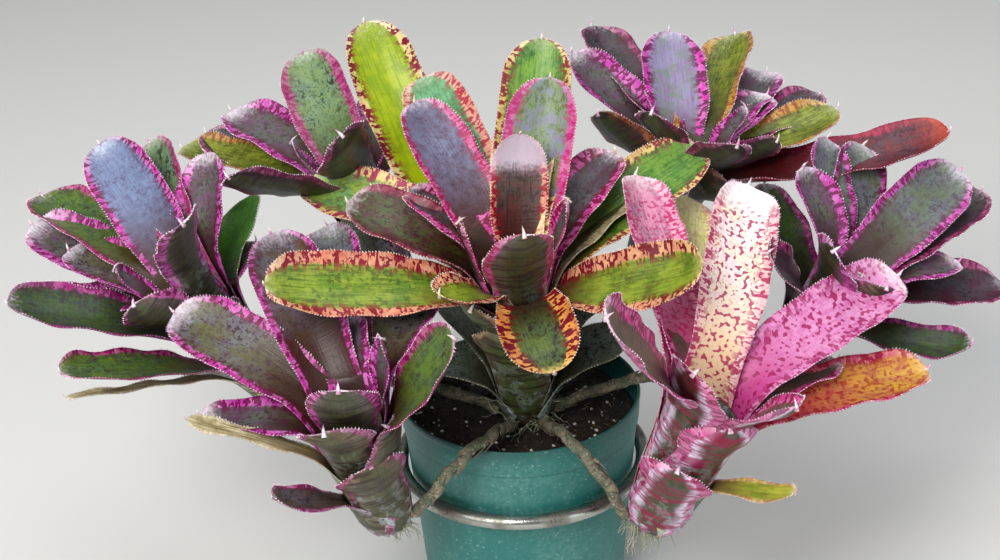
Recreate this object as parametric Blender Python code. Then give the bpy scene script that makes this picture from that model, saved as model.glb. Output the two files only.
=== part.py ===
"""A potted clump of bromeliads: one mother rosette and six offsets that hang round the pot on stolons."""

import bmesh
import bpy
from math import cos
from math import pi
from math import radians
from math import sin
from math import sqrt

from mathutils import Vector

# Sizes are in metres. The pot stands on the origin, +X is to the right and the front faces -Y.
GAP = 0.0003

POT_HEIGHT = 0.152
POT_WALL = 0.0022
RIM_RADIUS = 0.083
BAND_RADIUS = 0.082
BAND_HEIGHT = 0.021
BODY_TOP_RADIUS = 0.0808
FOOT_RADIUS = 0.070
POT_SIDES = 48

DRAIN_HOLES = 6
DRAIN_RADIUS = 0.005
DRAIN_CIRCLE = 0.045

HOOP_HEIGHT = 0.099
HOOP_TUBE = 0.005
HOOP_RADIUS = 0.0845

SOIL_TOP = 0.140

LEAF_THICKNESS = 0.0014
CHANNEL_RADIUS = 0.024
STOLON_RADIUS = 0.004
VASE_SWELL = ((0.0, 0.72), (0.1, 0.98), (0.35, 1.06), (0.7, 1.0), (1.0, 0.96))

# Each rosette stands on a vase of clasping leaf bases, from its foot up to its cup.
ROSETTES = {
    "mother": {"foot": (0.004, -0.018, 0.142), "cup": (-0.001, -0.030, 0.260), "radii": (0.019, 0.024)},
    "left_front": {"foot": (-0.089, -0.090, 0.109), "cup": (-0.111, -0.112, 0.214), "radii": (0.018, 0.026)},
    "right_front": {"foot": (0.083, -0.090, 0.101), "cup": (0.121, -0.108, 0.213), "radii": (0.020, 0.029)},
    "left_outer": {"foot": (-0.163, 0.015, 0.143), "cup": (-0.221, 0.000, 0.246), "radii": (0.015, 0.024)},
    "right_outer": {"foot": (0.170, 0.005, 0.152), "cup": (0.226, -0.005, 0.237), "radii": (0.015, 0.022)},
    "left_back": {"foot": (-0.080, 0.072, 0.185), "cup": (-0.111, 0.078, 0.283), "radii": (0.015, 0.021)},
    "right_back": {"foot": (0.088, 0.080, 0.185), "cup": (0.125, 0.095, 0.285), "radii": (0.015, 0.021)},
}


def look(name, colour, roughness, metallic=0.0):
    material = bpy.data.materials.new(name)
    material.use_nodes = True
    shader = material.node_tree.nodes["Principled BSDF"]
    shader.inputs["Base Color"].default_value = (*colour, 1.0)
    shader.inputs["Roughness"].default_value = roughness
    shader.inputs["Metallic"].default_value = metallic
    return material


def put(name, mesh, material):
    obj = bpy.data.objects.new(name, mesh)
    obj.data.materials.append(material)
    bpy.context.scene.collection.objects.link(obj)
    return obj


def mesh_from(name, points, faces):
    mesh = bpy.data.meshes.new(name)
    mesh.from_pydata([tuple(p) for p in points], [], faces)
    mesh.update()
    shape = bmesh.new()
    shape.from_mesh(mesh)
    bmesh.ops.recalc_face_normals(shape, faces=shape.faces)
    shape.to_mesh(mesh)
    shape.free()
    return mesh


def lathe(name, profile, sides):
    """A closed solid: the profile runs from the axis to the axis, or round a loop that stays clear of it."""
    on_axis = profile[0][0] == 0.0
    rings = profile[1:-1] if on_axis else profile
    points = []
    for radius, height in rings:
        for i in range(sides):
            angle = 2 * pi * i / sides
            points.append((radius * cos(angle), radius * sin(angle), height))
    faces = []
    count = len(rings)
    for k in range(count - 1 if on_axis else count):
        low = k * sides
        high = (k + 1) % count * sides
        for i in range(sides):
            j = (i + 1) % sides
            faces.append((low + i, low + j, high + j, high + i))
    if on_axis:
        points.append((0.0, 0.0, profile[0][1]))
        points.append((0.0, 0.0, profile[-1][1]))
        first = count * sides
        last = (count - 1) * sides
        for i in range(sides):
            j = (i + 1) % sides
            faces.append((first, j, i))
            faces.append((first + 1, last + i, last + j))
    return mesh_from(name, points, faces)


def tube(name, centres, radii, sides):
    """A capped round tube along a line of points."""
    centres = [Vector(c) for c in centres]
    points = []
    across = None
    for k, centre in enumerate(centres):
        ahead = centres[min(k + 1, len(centres) - 1)] - centres[max(k - 1, 0)]
        ahead.normalize()
        if across is None:
            across = ahead.orthogonal()
        across = (across - ahead * across.dot(ahead)).normalized()
        beside = ahead.cross(across)
        for i in range(sides):
            angle = 2 * pi * i / sides
            points.append(centre + (across * cos(angle) + beside * sin(angle)) * radii[k])
    faces = []
    for k in range(len(centres) - 1):
        for i in range(sides):
            j = (i + 1) % sides
            faces.append((k * sides + i, k * sides + j, (k + 1) * sides + j, (k + 1) * sides + i))
    faces.append(tuple(range(sides)))
    faces.append(tuple(range((len(centres) - 1) * sides, len(centres) * sides)))
    return mesh_from(name, points, faces)


def rosette_frame(name):
    """Foot, axis, height and the two directions across the axis. Turn 0 is to the right, 90 to the back."""
    rosette = ROSETTES[name]
    foot = Vector(rosette["foot"])
    axis = Vector(rosette["cup"]) - foot
    height = axis.length
    axis.normalize()
    right = Vector((1.0, 0.0, 0.0))
    right = (right - axis * right.dot(axis)).normalized()
    return foot, axis, height, right, axis.cross(right)


def vase_radius(name, share):
    """The vase's radius at a share of its height: drawn in at the foot and a little swollen above it."""
    low, high = ROSETTES[name]["radii"]
    for (below, grow), (above, next_grow) in zip(VASE_SWELL, VASE_SWELL[1:]):
        if share <= above:
            part = (share - below) / (above - below)
            return (low + (high - low) * share) * (grow + (next_grow - grow) * part)
    return high * VASE_SWELL[-1][1]


def blade_half_width(share):
    """Half the width of a strap leaf, as a share of its full width: narrower at the foot, round at the tip."""
    foot = 0.36 + 0.64 * min(share / 0.4, 1.0)
    tip = max((share - 0.82) / 0.18, 0.0)
    return 0.5 * foot * max(sqrt(max(1.0 - tip * tip, 0.0)), 0.16)


def leaf(rosette, name, height, turn, lean, tip_lean, length, width, roll, material):
    """A strap leaf that leaves the vase at a share of its height. Lean is measured from the vase's axis."""
    foot, axis, tall, right, back = rosette_frame(rosette)
    turn = radians(turn)
    outward = right * cos(turn) + back * sin(turn)
    sideways = axis.cross(outward)
    rows = (0.0, 0.16, 0.34, 0.52, 0.7, 0.84, 0.94, 1.0)
    columns = (-1.0, -0.5, 0.0, 0.5, 1.0)
    clear = vase_radius(rosette, height) + LEAF_THICKNESS / 2 + GAP
    place = foot + axis * (tall * height) + outward * clear
    points = []
    before = 0.0
    for share in rows:
        middle = radians(lean + (tip_lean - lean) * (before + share) / 2)
        place = place + (axis * cos(middle) + outward * sin(middle)) * (length * (share - before))
        before = share
        angle = radians(lean + (tip_lean - lean) * share)
        upper = axis * sin(angle) - outward * cos(angle)
        twist = radians(roll) * min(share / 0.5, 1.0)
        normal = upper * cos(twist) + sideways * sin(twist)
        across = sideways * cos(twist) - upper * sin(twist)
        half = width * blade_half_width(share)
        for column in columns:
            bend = column * half / CHANNEL_RADIUS
            side = across * (CHANNEL_RADIUS * sin(bend))
            points.append(place + side + normal * (CHANNEL_RADIUS * (1 - cos(bend))))
    count = len(columns)
    faces = []
    for k in range(len(rows) - 1):
        for i in range(count - 1):
            corner = k * count + i
            faces.append((corner, corner + 1, corner + count + 1, corner + count))
    mesh = bpy.data.meshes.new(name)
    mesh.from_pydata([tuple(p) for p in points], [], faces)
    mesh.update()
    obj = put(name, mesh, material)
    solid = obj.modifiers.new("Thickness", "SOLIDIFY")
    solid.thickness = LEAF_THICKNESS
    solid.offset = 0.0
    solid.use_rim = True
    return obj


def clear_scene():
    for obj in list(bpy.data.objects):
        bpy.data.objects.remove(obj, do_unlink=True)


def build_pot(material):
    top = POT_HEIGHT
    shoulder = top - BAND_HEIGHT
    profile = [
        (0.0, 0.0),
        (FOOT_RADIUS - 0.002, 0.0),
        (FOOT_RADIUS, 0.002),
        (BODY_TOP_RADIUS, shoulder),
        (BAND_RADIUS, shoulder + 0.0012),
        (RIM_RADIUS, top - 0.003),
        (RIM_RADIUS - 0.0008, top),
        (RIM_RADIUS - POT_WALL, top),
        (BAND_RADIUS - POT_WALL, shoulder + 0.004),
        (BODY_TOP_RADIUS - POT_WALL, shoulder),
        (FOOT_RADIUS - POT_WALL, 0.004),
        (FOOT_RADIUS - POT_WALL - 0.002, POT_WALL),
        (0.0, POT_WALL),
    ]
    pot = put("pot", lathe("pot", profile, POT_SIDES), material)
    holes = bmesh.new()
    for i in range(DRAIN_HOLES):
        angle = 2 * pi * (i + 0.5) / DRAIN_HOLES
        made = bmesh.ops.create_cone(
            holes, cap_ends=True, segments=12, radius1=DRAIN_RADIUS, radius2=DRAIN_RADIUS, depth=0.012
        )
        shift = Vector((DRAIN_CIRCLE * cos(angle), DRAIN_CIRCLE * sin(angle), 0.0))
        bmesh.ops.translate(holes, verts=made["verts"], vec=shift)
    mesh = bpy.data.meshes.new("drain_cutter")
    holes.to_mesh(mesh)
    holes.free()
    cutter = bpy.data.objects.new("drain_cutter", mesh)
    bpy.context.scene.collection.objects.link(cutter)
    cutter.hide_render = True
    drain = pot.modifiers.new("Drain holes", "BOOLEAN")
    drain.operation = "DIFFERENCE"
    drain.solver = "EXACT"
    drain.object = cutter


def build_hoop(material):
    sides = 8
    ring = [
        (HOOP_RADIUS + HOOP_TUBE * cos(2 * pi * i / sides), HOOP_HEIGHT + HOOP_TUBE * sin(2 * pi * i / sides))
        for i in range(sides)
    ]
    put("pot_hoop", lathe("pot_hoop", ring, POT_SIDES), material)


def build_soil(material):
    inner = POT_WALL + GAP
    shoulder = POT_HEIGHT - BAND_HEIGHT
    profile = [
        (0.0, inner),
        (FOOT_RADIUS - inner - 0.004, inner),
        (FOOT_RADIUS - inner - 0.0005, 0.006),
        (BODY_TOP_RADIUS - inner - 0.0005, shoulder - 0.001),
        (BODY_TOP_RADIUS - inner, SOIL_TOP - 0.003),
        (BODY_TOP_RADIUS - inner - 0.002, SOIL_TOP - 0.001),
        (0.030, SOIL_TOP),
        (0.0, SOIL_TOP),
    ]
    put("soil", lathe("soil", profile, 32), material)


def build_vase(name, material):
    """The swollen bundle of leaf bases that holds a rosette up."""
    foot, axis, height, right, back = rosette_frame(name)
    centres = [foot + axis * (height * share) for share, grow in VASE_SWELL]
    radii = [vase_radius(name, share) for share, grow in VASE_SWELL]
    put(name + "_vase", tube(name + "_vase", centres, radii, 16), material)


def build_stolon(name, start, middle, end, material):
    """A woody runner from the mother's foot, over the pot's rim, to an offset's foot."""
    start = Vector(start)
    middle = Vector(middle)
    end = Vector(end)
    centres = []
    steps = 9
    for i in range(steps):
        share = i / (steps - 1)
        pull = 2 * middle - (start + end) / 2
        centres.append(start * (1 - share) ** 2 + pull * (2 * share * (1 - share)) + end * share**2)
    radii = [STOLON_RADIUS * (1.1 if i % 3 == 1 else 0.95) for i in range(steps)]
    put(name + "_stolon", tube(name + "_stolon", centres, radii, 8), material)


# Each leaf: height up the vase as a share, turn, lean at its foot, lean at its tip, length, width, roll.
LEAVES = {
    "mother": {
        "back_left_long": (0.76, 122, 70, 40, 0.209, 0.044, 14),
        "back_left_middle": (0.95, 111, 44, 77, 0.148, 0.043, 8),
        "back_left_short": (1.00, 122, 39, 64, 0.115, 0.042, -2),
        "centre": (0.98, 80, 12, 32, 0.077, 0.038, -20),
        "back_upright": (0.94, 71, 29, 51, 0.119, 0.044, -12),
        "right_upper": (0.92, 48, 47, 85, 0.094, 0.042, 0),
        "right_back": (0.84, 36, 61, 89, 0.144, 0.043, -23),
        "right_front": (0.84, 338, 73, 67, 0.112, 0.043, -32),
        "front_low": (0.90, 284, 84, 124, 0.066, 0.046, -12),
        "left_front": (0.86, 193, 73, 76, 0.142, 0.043, 32),
        "left_upper": (0.89, 147, 56, 99, 0.145, 0.043, 18),
        "left_middle": (0.96, 160, 52, 84, 0.096, 0.042, 14),
    },
    "left_front": {
        "left_upper": (0.90, 143, 56, 85, 0.115, 0.042, 10),
        "upright": (0.92, 108, 52, 78, 0.117, 0.045, 0),
        "right_upper": (0.87, 61, 68, 105, 0.088, 0.042, 0),
        "right_low": (0.78, 342, 36, 48, 0.104, 0.042, -26),
        "left_low": (0.82, 170, 70, 95, 0.072, 0.034, -10),
        "back": (0.74, 94, 60, 82, 0.138, 0.042, 4),
    },
    "right_front": {
        "back_left": (0.84, 112, 52, 77, 0.142, 0.042, -6),
        "back": (0.72, 94, 56, 82, 0.152, 0.042, -10),
        "upright": (0.95, 84, 30, 84, 0.128, 0.042, 0),
        "right_upper": (0.90, 36, 44, 80, 0.133, 0.042, -6),
        "right_low": (0.76, 14, 60, 79, 0.127, 0.042, 3),
        "left": (0.94, 216, 46, 55, 0.142, 0.042, 25),
    },
    "left_outer": {
        "upright": (0.97, 109, 47, 65, 0.117, 0.043, -4),
        "left_middle": (0.92, 143, 55, 68, 0.121, 0.042, -6),
        "left_low": (0.64, 200, 29, 46, 0.127, 0.042, 16),
        "right_upper": (0.91, 67, 44, 73, 0.078, 0.042, -4),
        "lowest": (0.40, 222, 36, 52, 0.119, 0.034, 20),
    },
    "right_outer": {
        "left_upper": (0.94, 138, 44, 80, 0.058, 0.040, 12),
        "upright": (0.86, 90, 54, 66, 0.098, 0.042, 0),
        "right_upper": (0.98, 55, 48, 67, 0.110, 0.043, -3),
        "right_low": (0.86, 14, 66, 71, 0.102, 0.042, -3),
        "lowest": (0.62, 332, 66, 51, 0.084, 0.034, -16),
        "left_back": (0.54, 118, 62, 83, 0.086, 0.042, 10),
    },
    "left_back": {
        "left_upper": (0.97, 133, 53, 77, 0.108, 0.042, 2),
        "upright": (0.99, 100, 45, 64, 0.107, 0.043, 0),
        "right_upper": (0.86, 64, 50, 70, 0.090, 0.042, 0),
        "left_low": (0.84, 139, 67, 70, 0.130, 0.042, 0),
    },
    "right_back": {
        "upright": (0.97, 107, 43, 56, 0.092, 0.044, 20),
        "left": (0.92, 154, 58, 77, 0.092, 0.042, 24),
        "back": (0.86, 88, 52, 74, 0.124, 0.042, -4),
        "right_upper": (0.96, 62, 52, 77, 0.116, 0.042, 10),
        "right_low": (0.90, 22, 53, 61, 0.106, 0.042, -10),
    },
}

# Each stolon: a start by the mother's foot, a point it passes over near the rim, and an end by the offset's foot.
STOLONS = {
    "left_front": ((-0.0057, -0.0354, 0.1447), (-0.036, -0.092, 0.1585), (-0.0711, -0.0955, 0.1165)),
    "right_front": ((0.0137, -0.0348, 0.1447), (0.036, -0.092, 0.1585), (0.0649, -0.0957, 0.1095)),
    "left_outer": ((-0.0146, -0.0154, 0.1447), (-0.086, 0.004, 0.159), (-0.1518, 0.014, 0.1474)),
    "right_outer": ((0.0214, -0.0156, 0.1447), (0.092, -0.006, 0.161), (0.160, 0.004, 0.153)),
    "left_back": ((-0.0055, -0.0045, 0.1447), (-0.048, 0.044, 0.157), (-0.0765, 0.0695, 0.1835)),
    "right_back": ((0.0115, -0.0039, 0.1447), (0.050, 0.048, 0.157), (0.084, 0.0775, 0.184)),
}


def main():
    clear_scene()
    build_pot(look("teal_plastic", (0.020, 0.165, 0.150), 0.45))
    build_hoop(look("dull_steel", (0.42, 0.43, 0.42), 0.35, metallic=1.0))
    build_soil(look("bark_mix", (0.020, 0.014, 0.010), 0.95))
    base = look("leaf_base", (0.13, 0.14, 0.09), 0.6)
    wood = look("stolon_bark", (0.10, 0.085, 0.065), 0.85)
    blades = {
        "mother": look("leaf_yellow_green", (0.22, 0.30, 0.06), 0.45),
        "left_front": look("leaf_brown_purple", (0.13, 0.07, 0.06), 0.45),
        "right_front": look("leaf_pale_pink", (0.72, 0.34, 0.42), 0.45),
        "left_outer": look("leaf_grey_blue", (0.25, 0.28, 0.33), 0.5),
        "right_outer": look("leaf_grey_green", (0.22, 0.24, 0.22), 0.5),
        "left_back": look("leaf_dark_green", (0.10, 0.12, 0.07), 0.45),
        "right_back": look("leaf_magenta", (0.28, 0.10, 0.22), 0.45),
    }
    for name in ROSETTES:
        build_vase(name, base)
    for name, path in STOLONS.items():
        build_stolon(name, *path, wood)
    for rosette, leaves in LEAVES.items():
        for name, shape in leaves.items():
            leaf(rosette, rosette + "_leaf_" + name, *shape, blades[rosette])


main()
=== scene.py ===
from math import cos, pi, radians, sin

import bpy
import numpy as np
from mathutils import Matrix, Vector


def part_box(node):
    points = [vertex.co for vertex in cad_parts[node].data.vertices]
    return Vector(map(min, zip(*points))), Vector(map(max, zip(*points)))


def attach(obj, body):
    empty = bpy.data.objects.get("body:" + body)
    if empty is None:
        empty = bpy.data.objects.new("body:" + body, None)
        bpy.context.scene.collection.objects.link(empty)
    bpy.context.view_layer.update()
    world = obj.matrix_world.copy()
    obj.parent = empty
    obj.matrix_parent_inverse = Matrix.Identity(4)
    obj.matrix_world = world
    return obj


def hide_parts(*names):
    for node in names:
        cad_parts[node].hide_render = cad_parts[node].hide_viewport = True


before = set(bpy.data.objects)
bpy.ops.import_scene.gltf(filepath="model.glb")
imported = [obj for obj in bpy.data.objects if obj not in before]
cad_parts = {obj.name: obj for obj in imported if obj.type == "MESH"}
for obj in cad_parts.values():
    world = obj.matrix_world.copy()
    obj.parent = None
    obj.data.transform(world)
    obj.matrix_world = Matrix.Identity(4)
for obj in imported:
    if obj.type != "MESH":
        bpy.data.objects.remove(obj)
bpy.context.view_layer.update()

print("frame loaded:", len(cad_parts), "nodes")


# helpers that every material uses

def linear(code):
    # "#rrggbb" as it looks on a screen, made into the linear colour that shaders take
    parts = [int(code[i:i + 2], 16) / 255 for i in (1, 3, 5)]
    return [c / 12.92 if c <= 0.04045 else ((c + 0.055) / 1.055) ** 2.4 for c in parts] + [1.0]


def feed(tree, value, socket):
    if isinstance(value, bpy.types.NodeSocket):
        tree.links.new(value, socket)
    elif isinstance(value, str):
        socket.default_value = linear(value)
    else:
        socket.default_value = value


def calc(tree, operation, a, b=0.0, clamp=False):
    node = tree.nodes.new("ShaderNodeMath")
    node.operation = operation
    node.use_clamp = clamp
    feed(tree, a, node.inputs[0])
    feed(tree, b, node.inputs[1])
    return node.outputs[0]


def times(tree, a, b):
    return calc(tree, "MULTIPLY", a, b)


def plus(tree, a, b):
    return calc(tree, "ADD", a, b)


def minus(tree, a, b):
    return calc(tree, "SUBTRACT", a, b)


def ease(tree, value, low, high):
    # 0 below low, 1 above high, soft between; low may be the larger one
    node = tree.nodes.new("ShaderNodeMapRange")
    node.interpolation_type = "SMOOTHSTEP"
    feed(tree, value, node.inputs["Value"])
    feed(tree, low, node.inputs["From Min"])
    feed(tree, high, node.inputs["From Max"])
    return node.outputs["Result"]


def blendColour(tree, share, a, b, mode="MIX"):
    node = tree.nodes.new("ShaderNodeMix")
    node.data_type = "RGBA"
    node.blend_type = mode
    feed(tree, share, node.inputs[0])
    feed(tree, a, node.inputs[6])
    feed(tree, b, node.inputs[7])
    return node.outputs[2]


def stretch(tree, vector, factors, shift=None):
    node = tree.nodes.new("ShaderNodeVectorMath")
    node.operation = "MULTIPLY_ADD" if shift is not None else "MULTIPLY"
    tree.links.new(vector, node.inputs[0])
    node.inputs[1].default_value = factors
    if shift is not None:
        feed(tree, shift, node.inputs[2])
    return node.outputs[0]


def cloud(tree, vector, scale, detail=2.0, warp=0.0):
    node = tree.nodes.new("ShaderNodeTexNoise")
    tree.links.new(vector, node.inputs["Vector"])
    node.inputs["Scale"].default_value = scale
    node.inputs["Detail"].default_value = detail
    node.inputs["Distortion"].default_value = warp
    return node.outputs["Fac"]


socketKinds = {str: "Color", float: "Float", int: "Int", tuple: "Vector", type(None): "Material"}


def nameInputs(tree, inputs):
    # every input takes its kind from its own value; None stands for a material
    for label, value in inputs.items():
        kind = "NodeSocket" + socketKinds[type(value)]
        socket = tree.interface.new_socket(label, in_out="INPUT", socket_type=kind)
        if value is not None:
            socket.default_value = linear(value) if isinstance(value, str) else value


def newGroup(name, inputs, outputs=("Roughness", "Relief")):
    # a shared pattern: a colour comes out, and numbers beside it
    tree = bpy.data.node_groups.new(name, "ShaderNodeTree")
    nameInputs(tree, inputs)
    tree.interface.new_socket("Colour", in_out="OUTPUT", socket_type="NodeSocketColor")
    for label in outputs:
        tree.interface.new_socket(label, in_out="OUTPUT", socket_type="NodeSocketFloat")
    start = tree.nodes.new("NodeGroupInput")
    end = tree.nodes.new("NodeGroupOutput")
    return tree, start.outputs, end.inputs


def deliver(tree, out, colour, roughness, relief):
    feed(tree, colour, out["Colour"])
    feed(tree, roughness, out["Roughness"])
    feed(tree, relief, out["Relief"])
    return tree


def objectPlace(tree):
    return tree.nodes.new("ShaderNodeTexCoord").outputs["Object"]


def attributeOf(tree, name):
    node = tree.nodes.new("ShaderNodeAttribute")
    node.attribute_name = name
    return node.outputs["Vector"]


def partsOf(tree, vector):
    node = tree.nodes.new("ShaderNodeSeparateXYZ")
    tree.links.new(vector, node.inputs[0])
    return node.outputs


def finishWith(name, group, values, relief=0.0004):
    # a Principled material whose colour, roughness and relief come from a shared pattern
    material = bpy.data.materials.new(name)
    material.use_nodes = True
    tree = material.node_tree
    shader = tree.nodes["Principled BSDF"]
    pattern = tree.nodes.new("ShaderNodeGroup")
    pattern.node_tree = group
    for label, value in values.items():
        feed(tree, value, pattern.inputs[label])
    tree.links.new(pattern.outputs["Colour"], shader.inputs["Base Color"])
    tree.links.new(pattern.outputs["Roughness"], shader.inputs["Roughness"])
    if "Metal" in pattern.outputs:
        tree.links.new(pattern.outputs["Metal"], shader.inputs["Metallic"])
    bump = tree.nodes.new("ShaderNodeBump")
    bump.inputs["Distance"].default_value = relief
    bump.inputs["Strength"].default_value = 0.8
    tree.links.new(pattern.outputs["Relief"], bump.inputs["Height"])
    tree.links.new(bump.outputs["Normal"], shader.inputs["Normal"])
    return material


# leaf pattern: heart, barred margins, pale tip, dark foot (its own colour and painted shade), banded back

def makeBladePattern():
    tree, given, out = newGroup("bladePattern", {
        "Heart": "#8a9a40", "Heart Shade": "#5f7a30", "Edge": "#d060a8", "Bar": "#8a1f5a",
        "Tip": "#efe8ea", "Foot": "#4a2a24", "Fleck": "#3a2030", "Back": "#67605a",
        "Back Middle": "#4c5236", "Band": "#33242a", "Bloom Colour": "#8f9cb8", "Edge Width": 0.24,
        "Bars": 0.8, "Flecks": 0.5, "Streaks": 0.3, "Tip Share": 0.08, "Foot Share": 0.4, "Bloom": 0.2,
        "Spots": 0.0, "Seed": 0.0})
    across, along, side = partsOf(tree, attributeOf(tree, "bladePlace"))
    shift = tree.nodes.new("ShaderNodeVectorMath")
    shift.operation = "SCALE"
    shift.inputs[0].default_value = (0.37, 0.91, 0.53)
    feed(tree, given["Seed"], shift.inputs["Scale"])
    metres = stretch(tree, attributeOf(tree, "bladeMetres"), (1, 1, 1), shift.outputs[0])
    edgeward = calc(tree, "ABSOLUTE", across)
    broad = cloud(tree, metres, 60, 3)
    middling = cloud(tree, metres, 170, 3)
    fine = cloud(tree, metres, 480, 2)
    grain = cloud(tree, stretch(tree, metres, (950, 55, 1)), 1.0, 3)

    def mixOf(*terms):
        # weighted sum of several clouds
        total = times(tree, terms[0][0], terms[0][1])
        for value, weight in terms[1:]:
            total = plus(tree, total, times(tree, value, weight))
        return total

    # heart: two tones, streaks along the leaf, small dark flecks in patches
    shadeMask = ease(tree, mixOf((broad, 0.4), (middling, 0.3), (grain, 0.3)), 0.42, 0.58)
    heart = blendColour(tree, shadeMask, given["Heart"], given["Heart Shade"])
    streakMask = times(tree, ease(tree, grain, 0.48, 0.68), given["Streaks"])
    heart = blendColour(tree, streakMask, heart, given["Fleck"])
    bloomMask = ease(tree, mixOf((broad, 0.5), (grain, 0.3), (fine, 0.2)), 0.38, 0.60)
    bloomMask = times(tree, times(tree, bloomMask, given["Bloom"]), ease(tree, along, 0.15, 0.60))
    heart = blendColour(tree, bloomMask, heart, given["Bloom Colour"])
    dots = ease(tree, cloud(tree, stretch(tree, metres, (520, 400, 1)), 1.0, 1.0), 0.58, 0.64)
    blots = ease(tree, cloud(tree, stretch(tree, metres, (250, 200, 1)), 1.0, 2.5), 0.56, 0.63)
    patches = ease(tree, broad, 0.40, 0.60)
    freckles = calc(tree, "MAXIMUM", dots, blots)
    freckles = times(tree, freckles, plus(tree, 0.35, times(tree, patches, 0.65)))
    heart = blendColour(tree, times(tree, freckles, given["Flecks"]), heart, given["Fleck"])
    # the foot: the leaf's own base colour, and painted shade deep in the rosette where the dark looks turn
    # nearly black
    footLine = plus(tree, along, times(tree, minus(tree, mixOf((broad, 0.5), (grain, 0.5)), 0.5), 0.7))
    footShare = given["Foot Share"]
    footToneAndShadeMask = ease(tree, footLine, times(tree, footShare, 1.35), times(tree, footShare, 0.1))
    heart = blendColour(tree, times(tree, footToneAndShadeMask, 0.9), heart, given["Foot"])
    spotCloud = cloud(tree, stretch(tree, metres, (330, 360, 1)), 1.0, 0.4)
    spotMask = times(tree, ease(tree, spotCloud, 0.58, 0.63), given["Spots"])
    heart = blendColour(tree, spotMask, heart, given["Bar"])

    # margins: mottled, crossed by dark bars that run a little way into the heart
    inner = minus(tree, 1.0, given["Edge Width"])
    edgeLine = plus(tree, edgeward, times(tree, minus(tree, broad, 0.5), 0.26))
    edgeLine = plus(tree, edgeLine, times(tree, minus(tree, fine, 0.5), 0.12))
    edgeMask = ease(tree, edgeLine, minus(tree, inner, 0.06), plus(tree, inner, 0.06))
    barCloud = cloud(tree, stretch(tree, metres, (110, 330, 1)), 1.0, 1.0, 0.25)
    bars = ease(tree, barCloud, 0.54, 0.575)
    specks = ease(tree, cloud(tree, stretch(tree, metres, (260, 330, 1)), 1.0, 1.0), 0.555, 0.59)
    comb = calc(tree, "SINE", plus(tree, times(tree, partsOf(tree, metres)[1], 2400), times(tree, fine, 12)))
    comb = times(tree, ease(tree, comb, 0.1, 0.8), ease(tree, edgeward, 0.84, 0.98))
    barMask = calc(tree, "MAXIMUM", calc(tree, "MAXIMUM", bars, specks), times(tree, comb, 0.4))
    edge = blendColour(tree, times(tree, ease(tree, middling, 0.38, 0.62), 0.22), given["Edge"], given["Tip"])
    duskMask = times(tree, ease(tree, mixOf((broad, 0.6), (fine, 0.4)), 0.56, 0.40), 0.25)
    edge = blendColour(tree, duskMask, edge, given["Bar"])
    edge = blendColour(tree, times(tree, ease(tree, along, 0.80, 1.0), 0.45), edge, given["Tip"])
    edge = blendColour(tree, times(tree, barMask, given["Bars"]), edge, given["Bar"])
    reach = times(tree, ease(tree, edgeward, minus(tree, inner, 0.30), inner), 0.75)
    heart = blendColour(tree, times(tree, times(tree, barMask, given["Bars"]), reach), heart, given["Bar"])
    colour = blendColour(tree, edgeMask, heart, edge)

    # pale tip
    ragged = minus(tree, mixOf((fine, 0.4), (middling, 0.3), (grain, 0.3)), 0.5)
    tipLine = plus(tree, along, times(tree, ragged, 0.30))
    tipStart = minus(tree, 1.0, given["Tip Share"])
    tipMask = ease(tree, tipLine, minus(tree, tipStart, 0.02), plus(tree, tipStart, 0.14))
    colour = blendColour(tree, times(tree, tipMask, 0.8), colour, given["Tip"])

    # the back and the sheath: a dull middle, uneven cross bands and a white bloom that flakes
    bandCloud = cloud(tree, stretch(tree, metres, (42, 400, 1)), 1.0, 2.5, 0.35)
    bands = ease(tree, bandCloud, 0.49, 0.57)
    veins = ease(tree, cloud(tree, stretch(tree, metres, (1100, 40, 1)), 1.0, 2), 0.45, 0.65)
    middle = ease(tree, plus(tree, edgeward, times(tree, minus(tree, broad, 0.5), 0.7)), 0.62, 0.30)
    back = blendColour(tree, middle, given["Back"], given["Back Middle"])
    back = blendColour(tree, times(tree, ease(tree, middling, 0.42, 0.62), 0.35), back, given["Foot"])
    back = blendColour(tree, times(tree, veins, 0.22), back, given["Band"])
    back = blendColour(tree, times(tree, bands, 0.74), back, given["Band"])
    back = blendColour(tree, times(tree, edgeMask, 0.8), back, edge)
    scurf = ease(tree, cloud(tree, metres, 120, 6, 0.5), 0.45, 0.59)
    scurf = times(tree, scurf, ease(tree, fine, 0.34, 0.54))
    scurf = times(tree, scurf, ease(tree, along, 0.28, -0.12))
    scurf = times(tree, scurf, plus(tree, 0.30, times(tree, ease(tree, edgeward, 0.45, 0.95), 0.70)))
    back = blendColour(tree, times(tree, scurf, 0.9), back, "#b4c4c4")
    colour = blendColour(tree, side, back, colour)

    # a little more colour, and deeper darks
    vivid = tree.nodes.new("ShaderNodeHueSaturation")
    deeper = tree.nodes.new("ShaderNodeGamma")
    vivid.inputs["Saturation"].default_value = 1.12
    vivid.inputs["Value"].default_value = 1.04
    feed(tree, colour, vivid.inputs["Color"])
    feed(tree, vivid.outputs["Color"], deeper.inputs["Color"])
    deeper.inputs["Gamma"].default_value = 1.16
    rough = mixOf((fine, 0.18), (grain, 0.12), (bloomMask, 0.22), (scurf, 0.3))
    relief = mixOf((grain, 0.55), (fine, 0.25), (scurf, 0.6), (bands, -0.12))
    return deliver(tree, out, deeper.outputs["Color"], calc(tree, "ADD", rough, 0.29, clamp=True), relief)


bladePattern = makeBladePattern()

lookColours = ("Heart", "Heart Shade", "Edge", "Bar", "Tip", "Foot", "Fleck")
roseSheath = {"Band": "#94164e", "Back Middle": "#3e4a2a"}


def look(colours, rest):
    return {**dict(zip(lookColours, colours.split())), **rest}


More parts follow.
